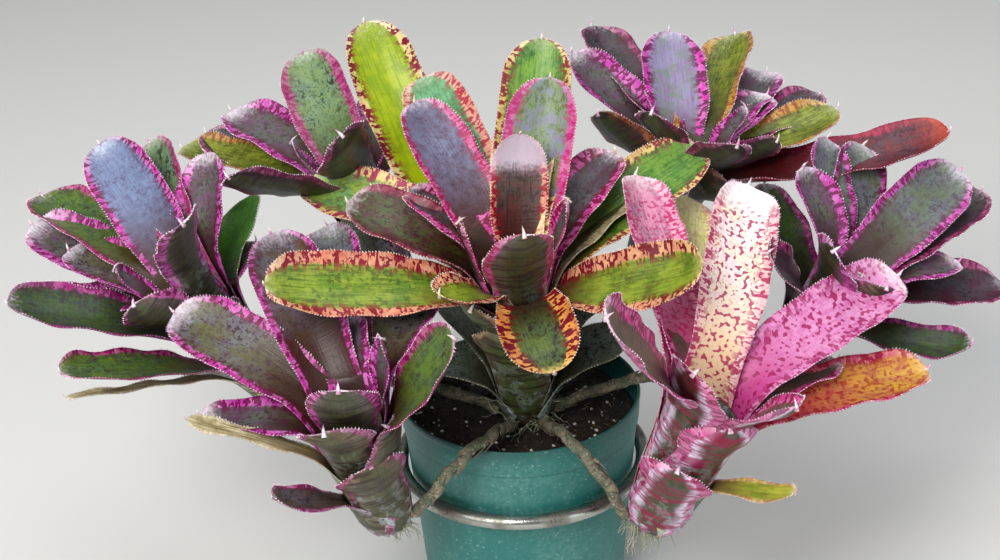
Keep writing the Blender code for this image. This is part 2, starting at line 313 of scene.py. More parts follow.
# Kinds of leaf: the seven colours above in order, then what differs from the pattern's own values.
leafLooks = {
    "lime": look("#b2c044 #93aa3c #ecd89c #8c2844 #f4efdc #9a6a34 #8aa040", {
        "Back": "#8a9a50", "Edge Width": 0.24, "Bars": 1.0, "Flecks": 0.25, "Tip Share": 0.05,
        "Foot Share": 0.3, "Bloom": 0.0}),
    "mint": look("#88b894 #6a9a64 #e4b09c #a42a50 #f0e6d8 #7a3a30 #3f7a58", {
        "Back": "#7a8a60", "Edge Width": 0.3, "Bars": 0.8, "Flecks": 0.4, "Tip Share": 0.05, "Bloom": 0.1}),
    "greyRose": look("#83849c #665262 #cc5c9a #9c1f50 #ece6f2 #5a3626 #4d3a52", {
        "Edge Width": 0.24, "Bars": 0.75, "Flecks": 0.5, "Tip Share": 0.06, "Foot Share": 0.5,
        "Bloom": 0.3}),
    "stripedTip": look("#6e4844 #4c4430 #f0ae98 #a01c38 #dccfdc #4c1c1c #34141a", {
        "Edge Width": 0.18, "Bars": 0.95, "Flecks": 0.6, "Streaks": 1.0, "Tip Share": 0.34,
        "Foot Share": 0.4, "Bloom": 0.1}),
    "lilacGreen": look("#8b8aa4 #7e9254 #cc64a0 #b03468 #dcd8e2 #4f5a24 #5c7434", {
        "Edge Width": 0.27, "Bars": 0.6, "Flecks": 0.85, "Streaks": 0.2, "Tip Share": 0.03,
        "Foot Share": 0.35, "Bloom": 0.15}),
    "magenta": look("#5c4450 #4e4a2e #da64ae #720e34 #efe6ee #3e2018 #3c1424", {
        "Edge Width": 0.42, "Bars": 0.85, "Flecks": 0.55, "Tip Share": 0.08, "Bloom": 0.25}),
    "leafGreen": look("#86a858 #5c8844 #e6d090 #8c2840 #efe8d0 #5a4a22 #3c6c2c", {
        "Edge Width": 0.2, "Bars": 0.9, "Flecks": 0.8, "Tip Share": 0.05, "Bloom": 0.05}),
    "sunset": look("#93a34a #6c8438 #dca68c #7c1c30 #f2e8b0 #5a2c28 #5c4a20", {
        "Back": "#8a8a50", "Edge Width": 0.36, "Bars": 1.0, "Flecks": 0.5, "Streaks": 0.35,
        "Tip Share": 0.07, "Foot Share": 0.25, "Bloom": 0.0}),
    "peachGreen": look("#98a850 #73903e #e0a088 #90203c #f4edd0 #6c3a2c #4c5a20", {
        "Back": "#94905a", "Edge Width": 0.34, "Bars": 1.0, "Flecks": 0.7, "Streaks": 0.5,
        "Tip Share": 0.05, "Foot Share": 0.22, "Bloom": 0.0}),
    "creamGreen": look("#a4b860 #7fae78 #f2dc9c #a83068 #f5efdd #6c3c2c #6a5a34", {
        "Edge Width": 0.26, "Bars": 0.9, "Flecks": 0.6, "Tip Share": 0.05, "Bloom": 0.05}),
    "maroon": look("#5f3438 #56602a #9c3c58 #5e1030 #e9dfe4 #341616 #2e1018", {
        "Back": "#4c3a40", "Edge Width": 0.22, "Bars": 0.6, "Flecks": 0.6, "Tip Share": 0.08,
        "Bloom": 0.1}),
    "creamCurl": look("#d9cf90 #b4b468 #f0e4b4 #d0708c #f6f0dc #7c5a34 #b87a5c", {
        "Edge Width": 0.35, "Bars": 0.6, "Flecks": 0.5, "Tip Share": 0.1, "Bloom": 0.0}),
    "deadTan": look("#4c5c34 #6a6844 #d0c8a8 #8a7858 #dcd4b8 #5c4a34 #3c3c24", {
        "Edge Width": 0.42, "Bars": 0.5, "Flecks": 0.5, "Streaks": 0.6, "Tip Share": 0.15, "Bloom": 0.0}),
    "straw": look("#d0c8a8 #b0a684 #dcd6bc #94805a #d8d0b4 #8c7c5c #7c6a48", {
        "Back": "#b4a880", "Edge Width": 0.2, "Bars": 0.4, "Flecks": 0.4, "Streaks": 0.9, "Tip Share": 0.1,
        "Bloom": 0.0}),
    "oliveRose": look("#70704e #5a3e2c #d260b6 #640c36 #ece4ee #40221a #3a2422", {
        "Edge Width": 0.24, "Bars": 0.85, "Flecks": 0.95, "Tip Share": 0.12, "Foot Share": 0.45,
        "Bloom": 0.35}),
    "brownBloom": look("#5e4a34 #4e2a22 #ce5ab2 #640c36 #e4dce6 #42241a #3c1a20", {
        "Edge Width": 0.19, "Bars": 0.8, "Flecks": 0.8, "Streaks": 0.4, "Tip Share": 0.08,
        "Foot Share": 0.55, "Bloom": 0.35}),
    "greenThin": look("#6c8440 #4e6a34 #b84484 #6c1848 #e6dce0 #46281c #3c2c20", {
        "Edge Width": 0.17, "Bars": 0.75, "Flecks": 0.7, "Streaks": 0.3, "Tip Share": 0.05, "Bloom": 0.1}),
    "darkGreen": look("#465c2c #34421f #a84088 #5e1644 #e0d6de #33201a #28201c", {
        "Back": "#4c4a48", "Edge Width": 0.18, "Bars": 0.7, "Flecks": 0.6, "Tip Share": 0.06,
        "Bloom": 0.1}),
    "plainGreen": look("#5c8c40 #4a7434 #5f8a44 #34522a #8c9c68 #3a4a26 #34522a", {
        "Back": "#5a7a44", "Edge Width": 0.1, "Bars": 0.3, "Flecks": 0.3, "Tip Share": 0.04, "Bloom": 0.0}),
    "whitePink": look("#f4e8ea #f3e9d4 #f0c8c8 #a8205e #fdf8fa #e2c8a8 #c84c7c", {
        "Back": "#e4d4e6", "Edge Width": 0.26, "Bars": 0.85, "Flecks": 0.3, "Streaks": 0.1,
        "Tip Share": 0.2, "Foot Share": 0.35, "Bloom": 0.0, "Spots": 0.85, **roseSheath}),
    "hotPink": look("#dca6ca #d08cba #dc92c4 #9a1a5c #fbf2f4 #c85e98 #b4165a", {
        "Back": "#e6d8ee", "Edge Width": 0.22, "Bars": 0.75, "Flecks": 0.2, "Streaks": 0.1,
        "Tip Share": 0.1, "Foot Share": 0.3, "Bloom": 0.15, "Bloom Colour": "#e4b4dc", "Spots": 0.8,
        **roseSheath}),
    "creamPink": look("#f0f0ac #f0e8c4 #eec8b4 #c04c74 #f4f0d8 #c87890 #a8a868", {
        "Edge Width": 0.25, "Bars": 0.5, "Flecks": 0.4, "Tip Share": 0.06, "Bloom": 0.0, "Spots": 0.15,
        **roseSheath}),
    "pinkGreyVein": look("#e4a8c0 #c898ac #ecaac4 #b8246a #f6e8ec #b85078 #8a5a70", {
        "Edge Width": 0.34, "Bars": 0.8, "Flecks": 0.5, "Tip Share": 0.1, "Bloom": 0.1, "Spots": 0.55,
        "Back": "#dccce0", **roseSheath}),
    "goldRose": look("#d6b064 #c08a68 #cc6488 #98183c #f4e4b4 #c45070 #a8344c", {
        "Back": "#a87858", "Edge Width": 0.22, "Bars": 0.8, "Flecks": 0.5, "Streaks": 0.2,
        "Tip Share": 0.06, "Foot Share": 0.55, "Bloom": 0.0, "Spots": 0.55, **roseSheath}),
    "roseBack": look("#6c6048 #544f30 #cf5c9c #86144c #f4e8ee #8c6474 #3c2a24", {
        "Back": "#e8dcf0", "Edge Width": 0.34, "Bars": 0.95, "Flecks": 0.5, "Tip Share": 0.1, "Bloom": 0.15,
        **roseSheath}),
    "greyBlue": look("#8b98b6 #707894 #ce5cb4 #6c1046 #dfe6f2 #4a2626 #5c4468", {
        "Edge Width": 0.19, "Bars": 0.9, "Flecks": 0.45, "Streaks": 0.25, "Tip Share": 0.09,
        "Foot Share": 0.46, "Bloom": 0.5}),
    "greyMoss": look("#78846f #6a6058 #ce5cb6 #6c1046 #e4e2ea #402824 #443440", {
        "Edge Width": 0.2, "Bars": 0.85, "Flecks": 0.6, "Streaks": 0.25, "Tip Share": 0.09,
        "Foot Share": 0.4, "Bloom": 0.35}),
    "orchid": look("#74586a #5c5c38 #d062ba #6c1046 #efe8f0 #3e2222 #3c2230", {
        "Edge Width": 0.36, "Bars": 0.85, "Flecks": 0.6, "Tip Share": 0.12, "Bloom": 0.25}),
    "speckled": look("#8aa070 #6c8a54 #b8548c #7c2050 #dadfd8 #3c4a20 #3a4a2c", {
        "Edge Width": 0.28, "Bars": 0.6, "Flecks": 1.0, "Streaks": 0.15, "Tip Share": 0.08, "Bloom": 0.3}),
    "oliveYellow": look("#96a050 #6c7a34 #c49a5c #7c2c38 #d8d8b4 #3a3020 #4a3c20", {
        "Edge Width": 0.26, "Bars": 0.6, "Flecks": 0.6, "Tip Share": 0.07, "Bloom": 0.0}),
    "darkPlum": look("#542c3c #3c3424 #a03c74 #541034 #d8c8d2 #2a1416 #24101a", {
        "Back": "#4a3440", "Edge Width": 0.26, "Bars": 0.7, "Flecks": 0.6, "Tip Share": 0.05,
        "Bloom": 0.15}),
    "lilacStripe": look("#9896ae #7c8a74 #d65cb8 #6a1050 #dcd8ea #5c3c54 #a468b0", {
        "Edge Width": 0.27, "Bars": 0.9, "Flecks": 0.25, "Streaks": 0.7, "Tip Share": 0.08,
        "Foot Share": 0.25, "Bloom": 0.25}),
    "redBrown": look("#7c3038 #5c2c2c #b0486c #5c1428 #c87060 #4c2020 #461620", {
        "Back": "#7c3c44", "Edge Width": 0.2, "Bars": 0.6, "Flecks": 0.7, "Streaks": 0.4, "Tip Share": 0.12,
        "Bloom": 0.15}),
    "sunsetDark": look("#6c7e40 #4e6230 #dca06c #7c1a2c #f0dc98 #3c2420 #34301c", {
        "Back": "#6c6840", "Edge Width": 0.4, "Bars": 1.0, "Flecks": 0.9, "Streaks": 0.5, "Tip Share": 0.1,
        "Foot Share": 0.5, "Bloom": 0.1}),
    "roseBrown": look("#5c4a3c #4a3226 #b8709c #6e1c48 #d8d0d8 #3e2c24 #2e201c", {
        "Back": "#7a6c5c", "Back Middle": "#5a5c40", "Band": "#382a26", "Edge Width": 0.2, "Bars": 0.8,
        "Flecks": 0.7, "Bloom": 0.2}),
    "yellowGreen": look("#b8bc60 #8c9c4c #d8cc8c #a04c5c #f0ecc8 #7c7040 #8c7c48", {
        "Back": "#9c9858", "Edge Width": 0.25, "Bars": 0.4, "Flecks": 0.4, "Bloom": 0.0}),
    "paleCurl": look("#d4dcd0 #8c9c78 #dcdce0 #8c5c78 #eef0ee #4c5438 #6c7c5c", {
        "Back": "#b4bcac", "Back Middle": "#7c8c6c", "Band": "#5c6450", "Edge Width": 0.3, "Bars": 0.3,
        "Flecks": 0.5, "Tip Share": 0.3, "Bloom": 0.3}),
    "oldSheath": look("#6f7c68 #545c48 #8c9484 #4c4438 #a8b0a0 #3c382c #34322a", {
        "Back": "#6c7868", "Back Middle": "#566050", "Band": "#3c4034", "Bloom Colour": "#9cb0ac",
        "Edge Width": 0.16, "Bars": 0.4, "Flecks": 0.8, "Streaks": 0.7, "Bloom": 0.7}),
    "motherSheath": look("#667048 #544c34 #a08468 #6a3040 #bcb49c #4c3c2c #34281f", {
        "Back": "#6e6a52", "Back Middle": "#56663e", "Band": "#35291f", "Edge Width": 0.14, "Bars": 0.5,
        "Flecks": 0.9, "Bloom": 0.2}),
    "brownCurl": look("#5c3a2c #4a3a22 #a86848 #4c1a1c #e0c8b0 #2c1a12 #2c1410", {
        "Back": "#5c4034", "Edge Width": 0.2, "Bars": 0.6, "Flecks": 0.6, "Tip Share": 0.06, "Bloom": 0.0}),
}


def hornPattern():
    tree, given, out = newGroup("hornPattern", {"Pale": "#f0e4d4", "Warm": "#d8a08c"})
    where = objectPlace(tree)
    mottle = cloud(tree, where, 320, 2)
    colour = blendColour(tree, ease(tree, mottle, 0.42, 0.6), given["Pale"], given["Warm"])
    return deliver(tree, out, colour, plus(tree, 0.4, times(tree, mottle, 0.2)), mottle)


horn = hornPattern()
spineHorn = {
    "mother": finishWith("spineHornCream", horn, {"Pale": "#f8f2e4", "Warm": "#e4b8a8"}),
    "pink": finishWith("spineHornPink", horn, {"Pale": "#f4ecf2", "Warm": "#dc9cc4"}),
}


# growing trees

def growTree(name, inputs):
    tree = bpy.data.node_groups.new(name, "GeometryNodeTree")
    tree.interface.new_socket("Geometry", in_out="INPUT", socket_type="NodeSocketGeometry")
    nameInputs(tree, inputs)
    tree.interface.new_socket("Geometry", in_out="OUTPUT", socket_type="NodeSocketGeometry")
    start = tree.nodes.new("NodeGroupInput").outputs
    end = tree.nodes.new("NodeGroupOutput").inputs
    return tree, start, end


def step(tree, kind, wires=None, **settings):
    node = tree.nodes.new(kind)
    for label, value in settings.items():
        setattr(node, label, value)
    for label, value in (wires or {}).items():
        socket = node.inputs[label]
        if isinstance(value, bpy.types.NodeSocket):
            tree.links.new(value, socket)
        else:
            socket.default_value = value
    return node.outputs


def joined(tree, x, y, z):
    return step(tree, "ShaderNodeCombineXYZ", {"X": x, "Y": y, "Z": z})["Vector"]


def scaled(tree, vector, factor):
    return step(tree, "ShaderNodeVectorMath", {0: vector, "Scale": factor}, operation="SCALE")["Vector"]


def roughPush(tree, scale, detail, factor):
    # a small push in a direction that a noise gives
    noise = step(tree, "ShaderNodeTexNoise", {"Scale": scale, "Detail": detail})["Color"]
    ends = {0: noise, 1: (0.5, 0.5, 0.5)}
    return scaled(tree, step(tree, "ShaderNodeVectorMath", ends, operation="SUBTRACT")["Vector"], factor)


def paintInto(tree, mesh, material, end):
    painted = step(tree, "GeometryNodeSetMaterial", {"Geometry": mesh, "Material": material})["Geometry"]
    tree.links.new(painted, end["Geometry"])
    return tree


def named(tree, name, kind):
    return step(tree, "GeometryNodeInputNamedAttribute", {"Name": name}, data_type=kind)["Attribute"]


def aimed(tree, vector):
    return step(tree, "FunctionNodeAlignRotationToVector", {"Vector": vector}, axis="Z")["Rotation"]


def twisted(tree, rotation, twist):
    wires = {"Rotation": rotation, "Rotate By": twist}
    return step(tree, "FunctionNodeRotateRotation", wires, rotation_space="LOCAL")["Rotation"]


def evenCurve(tree, curve, spacing):
    wires = {"Curve": curve, "Length": spacing}
    return step(tree, "GeometryNodeResampleCurve", wires, mode="LENGTH")["Curve"]


def moved(tree, geometry, offset):
    return step(tree, "GeometryNodeSetPosition", {"Geometry": geometry, "Offset": offset})["Geometry"]


def copiesOn(tree, points, shape, rotation, size):
    # copies of one shape on points, made into plain geometry
    wires = {"Points": points, "Instance": shape, "Rotation": rotation, "Scale": size}
    copies = step(tree, "GeometryNodeInstanceOnPoints", wires)["Instances"]
    return step(tree, "GeometryNodeRealizeInstances", {"Geometry": copies})["Geometry"]


def randomNumber(tree, low, high, seed, extra=0):
    shifted = step(tree, "FunctionNodeIntegerMath", {0: seed, 1: extra}, operation="ADD")[0]
    node = tree.nodes.new("FunctionNodeRandomValue")
    node.data_type = "FLOAT"
    floats = [s for s in node.inputs if s.type == "VALUE"]
    feed(tree, low, floats[0])
    feed(tree, high, floats[1])
    tree.links.new(shifted, node.inputs["Seed"])
    return [s for s in node.outputs if s.type == "VALUE" and s.enabled][0]


def randomVector(tree, ranges, seed, extra):
    return joined(tree, *(randomNumber(tree, *ends, seed, extra + k) for k, ends in enumerate(ranges)))


def marginSpinesTree():
    tree, given, end = growTree("marginSpines", {
        "Spacing": 0.0028, "Length": 0.0014, "Width": 0.0005, "Seed": 1, "Horn": None})
    margin = named(tree, "margin", "BOOLEAN")
    line = step(tree, "GeometryNodeMeshToCurve", {"Mesh": given["Geometry"], "Selection": margin})["Curve"]
    even = evenCurve(tree, line, given["Spacing"])
    cone = {"Vertices": 4, "Radius Top": 0.0, "Radius Bottom": given["Width"], "Depth": given["Length"]}
    spine = step(tree, "GeometryNodeMeshCone", cone, fill_type="NGON")["Mesh"]
    aim = aimed(tree, named(tree, "spineWay", "FLOAT_VECTOR"))
    real = copiesOn(tree, even, spine, aim, randomNumber(tree, 0.55, 1.25, given["Seed"]))
    painted = step(tree, "GeometryNodeSetMaterial", {"Geometry": real, "Material": given["Horn"]})["Geometry"]
    join = tree.nodes.new("GeometryNodeJoinGeometry")
    tree.links.new(painted, join.inputs[0])
    tree.links.new(given["Geometry"], join.inputs[0])
    tree.links.new(join.outputs[0], end["Geometry"])
    return tree


def addPiece(name, mesh, material=None):
    if material is not None:
        mesh.materials.append(material)
    piece = bpy.data.objects.new(name, mesh)
    bpy.context.scene.collection.objects.link(piece)
    return piece


def settle(obj, tree, values):
    # runs a growing tree on an object and keeps the result as its plain mesh
    modifier = obj.modifiers.new(tree.name, "NODES")
    modifier.node_group = tree
    for item in tree.interface.items_tree:
        if item.item_type == "SOCKET" and item.in_out == "INPUT" and item.name in values:
            modifier[item.identifier] = values[item.name]
    graph = bpy.context.evaluated_depsgraph_get()
    mesh = bpy.data.meshes.new_from_object(
        obj.evaluated_get(graph), preserve_all_data_layers=True, depsgraph=graph)
    obj.modifiers.remove(modifier)
    old = obj.data
    obj.data = mesh
    bpy.data.meshes.remove(old)
    return obj


marginSpines = marginSpinesTree()


def smoothMesh(name, points, faces):
    mesh = bpy.data.meshes.new(name)
    mesh.from_pydata(points, [], faces)
    mesh.polygons.foreach_set("use_smooth", [True] * len(faces))
    mesh.update()
    return mesh


# rosettes

vaseSwell = ((0.0, 0.72), (0.1, 0.98), (0.35, 1.06), (0.7, 1.0), (1.0, 0.96))

# Each leaf: height up the vase, turn, lean at its foot, lean at its tip, length, width, roll, look.
rosettes = {
    "mother": {
        "foot": (0.004, -0.018, 0.142), "cup": (-0.001, -0.030, 0.260),
        "radii": (0.019, 0.024), "horn": "mother",
        "leaves": {
            "back_left_long": (0.78, 119, 68, 38, 0.214, 0.048, 10, "lime"),
            "back_left_middle": (0.95, 111, 44, 77, 0.148, 0.043, 8, "mint"),
            "back_left_short": (1.00, 122, 39, 64, 0.115, 0.042, -2, "greyRose"),
            "centre": (0.98, 80, 12, 32, 0.077, 0.034, -20, "stripedTip"),
            "back_upright": (0.94, 71, 29, 51, 0.119, 0.044, -12, "lilacGreen"),
            "right_upper": (0.92, 48, 47, 85, 0.094, 0.042, 0, "magenta"),
            "right_back": (0.84, 36, 61, 89, 0.144, 0.043, -23, "leafGreen"),
            "right_front": (0.84, 338, 73, 67, 0.112, 0.043, -32, "sunset"),
            "front_low": (0.90, 284, 84, 124, 0.066, 0.046, -12, "sunsetDark"),
            "left_front": (0.86, 193, 73, 76, 0.142, 0.043, 32, "peachGreen"),
            "left_upper": (0.89, 147, 56, 99, 0.145, 0.043, 18, "creamGreen"),
            "left_middle": (0.96, 160, 52, 84, 0.096, 0.042, 14, "maroon"),
        },
        "extras": {
            "behind": (1.04, 77, 48, 51, 0.141, 0.044, -7, "leafGreen"),
            "cream_curl": (1.05, 79, 38, 92, 0.128, 0.040, 8, "creamCurl"),
            "dead_edge": (0.87, 42, 65, 82, 0.097, 0.042, -3, "deadTan"),
            "small_curl": (0.93, 225, 57, 78, 0.048, 0.034, 9, "sunset"),
            "pink_left": (1.05, 143, 46, 92, 0.064, 0.042, -5, "magenta"),
            "front_short": (0.94, 280, 19, 38, 0.066, 0.042, -3, "greyRose"),
            "young_left": (0.96, 190, 9, 22, 0.046, 0.026, 0, "magenta"),
            "young_right": (0.97, 5, 12, 28, 0.050, 0.026, 0, "magenta"),
            "low_left": (0.66, 225, 30, 52, 0.034, 0.044, 6, "motherSheath"),
            "low_middle": (0.46, 262, 14, 24, 0.030, 0.056, 0, "motherSheath"),
            "low_right": (0.58, 318, 18, 34, 0.030, 0.050, 0, "motherSheath"),
            "old_left": (0.22, 170, 52, 88, 0.052, 0.030, 10, "oldSheath"),
            "old_right": (0.20, 12, 50, 84, 0.060, 0.032, -12, "oldSheath"),
            "old_back_left": (0.26, 130, 46, 78, 0.070, 0.032, 0, "oldSheath"),
            "old_back_right": (0.24, 55, 46, 76, 0.074, 0.034, 0, "oldSheath"),
            "old_far_right": (0.32, 30, 40, 64, 0.066, 0.030, 8, "oldSheath"),
        },
    },
    "left_front": {
        "foot": (-0.089, -0.090, 0.109), "cup": (-0.111, -0.112, 0.214),
        "radii": (0.018, 0.026), "horn": "pink",
        "leaves": {
            "left_upper": (0.90, 143, 56, 85, 0.115, 0.042, 10, "oliveRose"),
            "upright": (0.92, 108, 52, 78, 0.117, 0.045, 0, "brownBloom"),
            "right_upper": (0.87, 61, 68, 105, 0.088, 0.042, 0, "oliveRose"),
            "right_low": (0.78, 342, 36, 48, 0.104, 0.042, -26, "greenThin"),
            "left_low": (0.82, 170, 70, 95, 0.072, 0.034, -10, "orchid"),
            "back": (0.74, 94, 60, 82, 0.138, 0.042, 4, "greyMoss"),
        },
        "extras": {
            "inner_curl": (0.90, 85, 45, 90, 0.045, 0.033, 20, "orchid"),
            "front_short": (0.92, 285, 14, 32, 0.053, 0.041, 16, "oliveRose"),
            "low_small": (0.34, 220, 40, 54, 0.062, 0.020, 20, "roseBrown"),
            "dry_strap": (0.62, 188, 42, 56, 0.092, 0.013, 0, "straw"),
            "low_front": (0.44, 290, 16, 26, 0.026, 0.044, 0, "roseBrown"),
            "low_right": (0.58, 330, 15, 22, 0.030, 0.040, 0, "roseBrown"),
            "collar": (0.80, 262, 24, 44, 0.036, 0.044, 0, "roseBrown"),
            "young_right": (0.90, 20, 12, 26, 0.044, 0.028, 0, "orchid"),
        },
    },
    "right_front": {
        "foot": (0.083, -0.090, 0.101), "cup": (0.121, -0.108, 0.213),
        "radii": (0.020, 0.029), "horn": "pink",
        "leaves": {
            "back_left": (0.84, 112, 52, 77, 0.142, 0.042, -6, "pinkGreyVein"),
            "back": (0.72, 94, 56, 82, 0.152, 0.042, -10, "creamPink"),
            "upright": (0.95, 84, 30, 84, 0.128, 0.042, 0, "whitePink"),
            "right_upper": (0.90, 36, 44, 80, 0.133, 0.042, -6, "hotPink"),
            "right_low": (0.76, 14, 60, 79, 0.127, 0.042, 3, "goldRose"),
            "left": (0.94, 216, 46, 55, 0.142, 0.042, 25, "roseBack"),
        },
        "extras": {
            "inner_right": (0.79, 26, 51, 86, 0.075, 0.034, 16, "roseBack"),
            "striped_curl": (0.89, 106, 60, 100, 0.060, 0.042, -5, "roseBack"),
            "low_yellow": (0.42, 326, 59, 60, 0.057, 0.018, -10, "yellowGreen"),
            "front_stub": (0.66, 285, 15, 28, 0.030, 0.050, 0, "roseBack"),
            "front_low": (0.34, 250, 20, 34, 0.030, 0.046, 0, "roseBack"),
            "collar_left": (0.86, 232, 22, 46, 0.060, 0.044, 12, "roseBack"),
            "collar_right": (0.88, 306, 26, 52, 0.052, 0.042, -8, "roseBack"),
        },
    },
    "left_outer": {
        "foot": (-0.163, 0.015, 0.143), "cup": (-0.221, 0.000, 0.246),
        "radii": (0.015, 0.024), "horn": "pink",
        "leaves": {
            "upright": (0.97, 109, 47, 65, 0.117, 0.043, -4, "greyBlue"),
            "left_middle": (0.92, 143, 55, 68, 0.121, 0.042, -6, "orchid"),
            "left_low": (0.64, 200, 29, 46, 0.127, 0.042, 16, "darkGreen"),
            "right_upper": (0.91, 67, 44, 73, 0.078, 0.042, -4, "orchid"),
            "lowest": (0.40, 222, 36, 52, 0.119, 0.034, 20, "greenThin"),
        },
        "extras": {
            "left_back": (1.01, 132, 57, 85, 0.142, 0.042, -20, "greenThin"),
            "left_inner": (0.96, 151, 45, 72, 0.074, 0.042, -14, "oliveRose"),
            "left_side": (0.92, 170, 60, 70, 0.083, 0.026, 0, "orchid"),
            "behind": (0.99, 96, 63, 75, 0.111, 0.042, 10, "speckled"),
            "inner_curl": (1.07, 312, 30, 71, 0.086, 0.034, 0, "orchid"),
            "front_short": (0.85, 243, 36, 29, 0.040, 0.042, -26, "oliveRose"),
            "plain_green": (0.75, 63, 61, 92, 0.071, 0.034, 0, "plainGreen"),
            "low_curl": (0.75, 52, 61, 116, 0.036, 0.034, -8, "orchid"),
            "young_left": (0.96, 190, 9, 22, 0.038, 0.026, 0, "orchid"),
            "collar": (0.62, 285, 18, 34, 0.034, 0.042, 0, "roseBrown"),
            "dry_strap": (0.36, 205, 52, 58, 0.108, 0.009, 0, "straw"),
        },
    },
    "right_outer": {
        "foot": (0.170, 0.005, 0.152), "cup": (0.226, -0.005, 0.237),
        "radii": (0.015, 0.022), "horn": "pink",
        "leaves": {
            "left_upper": (0.94, 138, 44, 80, 0.058, 0.040, 12, "orchid"),
            "upright": (0.86, 90, 54, 66, 0.098, 0.042, 0, "greyMoss"),
            "right_upper": (0.98, 55, 48, 67, 0.110, 0.043, -3, "greyMoss"),
            "right_low": (0.86, 14, 66, 71, 0.102, 0.042, -3, "darkPlum"),
            "lowest": (0.62, 332, 66, 51, 0.084, 0.034, -16, "darkGreen"),
            "left_back": (0.54, 118, 62, 83, 0.086, 0.042, 10, "darkGreen"),
        },
        "extras": {
            "behind": (0.99, 45, 66, 62, 0.120, 0.042, 18, "darkPlum"),
            "right_inner": (0.95, 20, 51, 76, 0.064, 0.034, 9, "orchid"),
            "low_curl": (0.68, 206, 58, 79, 0.072, 0.035, 17, "darkPlum"),
            "small_upright": (0.93, 108, 59, 70, 0.087, 0.034, 0, "greyMoss"),
            "young": (0.90, 255, 6, 40, 0.017, 0.027, 0, "paleCurl"),
            "collar": (0.80, 280, 24, 42, 0.036, 0.042, 0, "roseBrown"),
            "front_left": (0.84, 222, 38, 62, 0.050, 0.038, 8, "orchid"),
        },
    },
    "left_back": {
        "foot": (-0.080, 0.072, 0.185), "cup": (-0.111, 0.078, 0.283),
        "radii": (0.015, 0.021), "horn": "pink",
        "leaves": {
            "left_upper": (0.97, 133, 53, 77, 0.108, 0.042, 2, "orchid"),
            "upright": (0.99, 100, 45, 64, 0.107, 0.043, 0, "speckled"),
            "right_upper": (0.86, 64, 50, 70, 0.090, 0.042, 0, "orchid"),
            "left_low": (0.84, 139, 67, 70, 0.130, 0.042, 0, "darkPlum"),
        },
        "extras": {
            "right_curl": (0.90, 25, 48, 70, 0.034, 0.019, -17, "darkPlum"),
            "left_back": (0.94, 147, 65, 82, 0.132, 0.034, 5, "oliveYellow"),
            "low_front": (0.94, 240, 56, 58, 0.108, 0.027, -22, "darkPlum"),
            "front_short": (1.05, 287, 40, 58, 0.056, 0.041, -23, "darkPlum"),
            "young_left": (0.98, 190, 9, 22, 0.040, 0.026, 0, "orchid"),
        },
    },
    "right_back": {
        "foot": (0.088, 0.080, 0.185), "cup": (0.125, 0.095, 0.285),
        "radii": (0.015, 0.021), "horn": "pink",
        "leaves": {
            "upright": (0.97, 107, 43, 56, 0.092, 0.044, 20, "lilacStripe"),
            "left": (0.92, 154, 58, 77, 0.092, 0.042, 24, "orchid"),
            "back": (0.86, 88, 52, 74, 0.124, 0.042, -4, "darkPlum"),
            "right_upper": (0.96, 62, 52, 77, 0.116, 0.042, 10, "orchid"),
            "right_low": (0.90, 22, 53, 61, 0.106, 0.042, -10, "oliveYellow"),
        },
        "extras": {
            "left_back": (1.01, 128, 65, 76, 0.116, 0.042, 15, "darkPlum"),
            "behind": (1.03, 76, 58, 65, 0.128, 0.041, 35, "oliveYellow"),
            "right_inner": (0.97, 51, 45, 72, 0.079, 0.034, 3, "orchid"),
            "right_back": (0.95, 40, 55, 70, 0.116, 0.034, -4, "darkPlum"),
            "front_curl": (0.89, 318, 44, 49, 0.061, 0.027, 23, "darkPlum"),
            "brown_left": (0.79, 205, 53, 74, 0.067, 0.035, -32, "brownCurl"),
            "front_left": (0.96, 228, 57, 59, 0.048, 0.034, -10, "darkPlum"),
            "brown_hanging": (0.72, 311, 55, 62, 0.030, 0.043, 35, "brownCurl"),
            "long_right": (0.82, 358, 67, 55, 0.172, 0.043, -20, "redBrown"),
            "young_right": (0.98, 10, 9, 24, 0.042, 0.028, 0, "orchid"),
            "front_low": (0.86, 286, 40, 66, 0.060, 0.036, 0, "darkPlum"),
        },
    },
}

# Lengths are in metres, the spread is in degrees, and breadth, footWidth and rounding are shares.
blade = {
    "breadth": 1.15, "footWidth": 0.78, "rounding": 1.15, "channelFoot": 0.026, "channelMiddle": 0.038,
    "channelTip": 0.016, "thickness": 0.0016, "columns": 17, "rows": 24, "tipRows": 14, "hook": 0.0054,
    "wave": 0.0013, "ripples": (150, 190), "sway": 0.0016, "crease": 0.0006, "creaseWidth": 0.12,
    "hornLength": 0.0076, "hornWidth": 0.0017, "hornSides": 6, "usualWidth": 0.042, "gap": 0.0010,
    "sheathSpread": 80, "sheathReach": 0.72, "sheathRows": 12, "sheathStep": 0.00045,
    "sheathInset": 0.0055, "sheathDroop": 0.004, "neckPasses": 8, "spineSpacing": 0.0021,
    "spineLength": 0.0013, "spineWidth": 0.00045}


def unit(v):
    return v / np.linalg.norm(v, axis=-1, keepdims=True)


def rosetteFrame(rosette):
    # foot, axis, height, and the two directions across the axis; turn 0 is to the right, 90 to the back
    foot = np.array(rosette["foot"])
    axis = np.array(rosette["cup"]) - foot
    tall = np.linalg.norm(axis)
    axis = axis / tall
    right = np.array((1.0, 0.0, 0.0))
    right = unit(right - axis * right.dot(axis))
    return foot, axis, tall, right, np.cross(axis, right)


def vaseRadius(rosette, share):
    low, high = rosette["radii"]
    swell = np.interp(share, [a for a, b in vaseSwell], [b for a, b in vaseSwell])
    return (low + (high - low) * share) * swell


def soft(x):
    x = np.clip(x, 0, 1)
    return x * x * (3 - 2 * x)


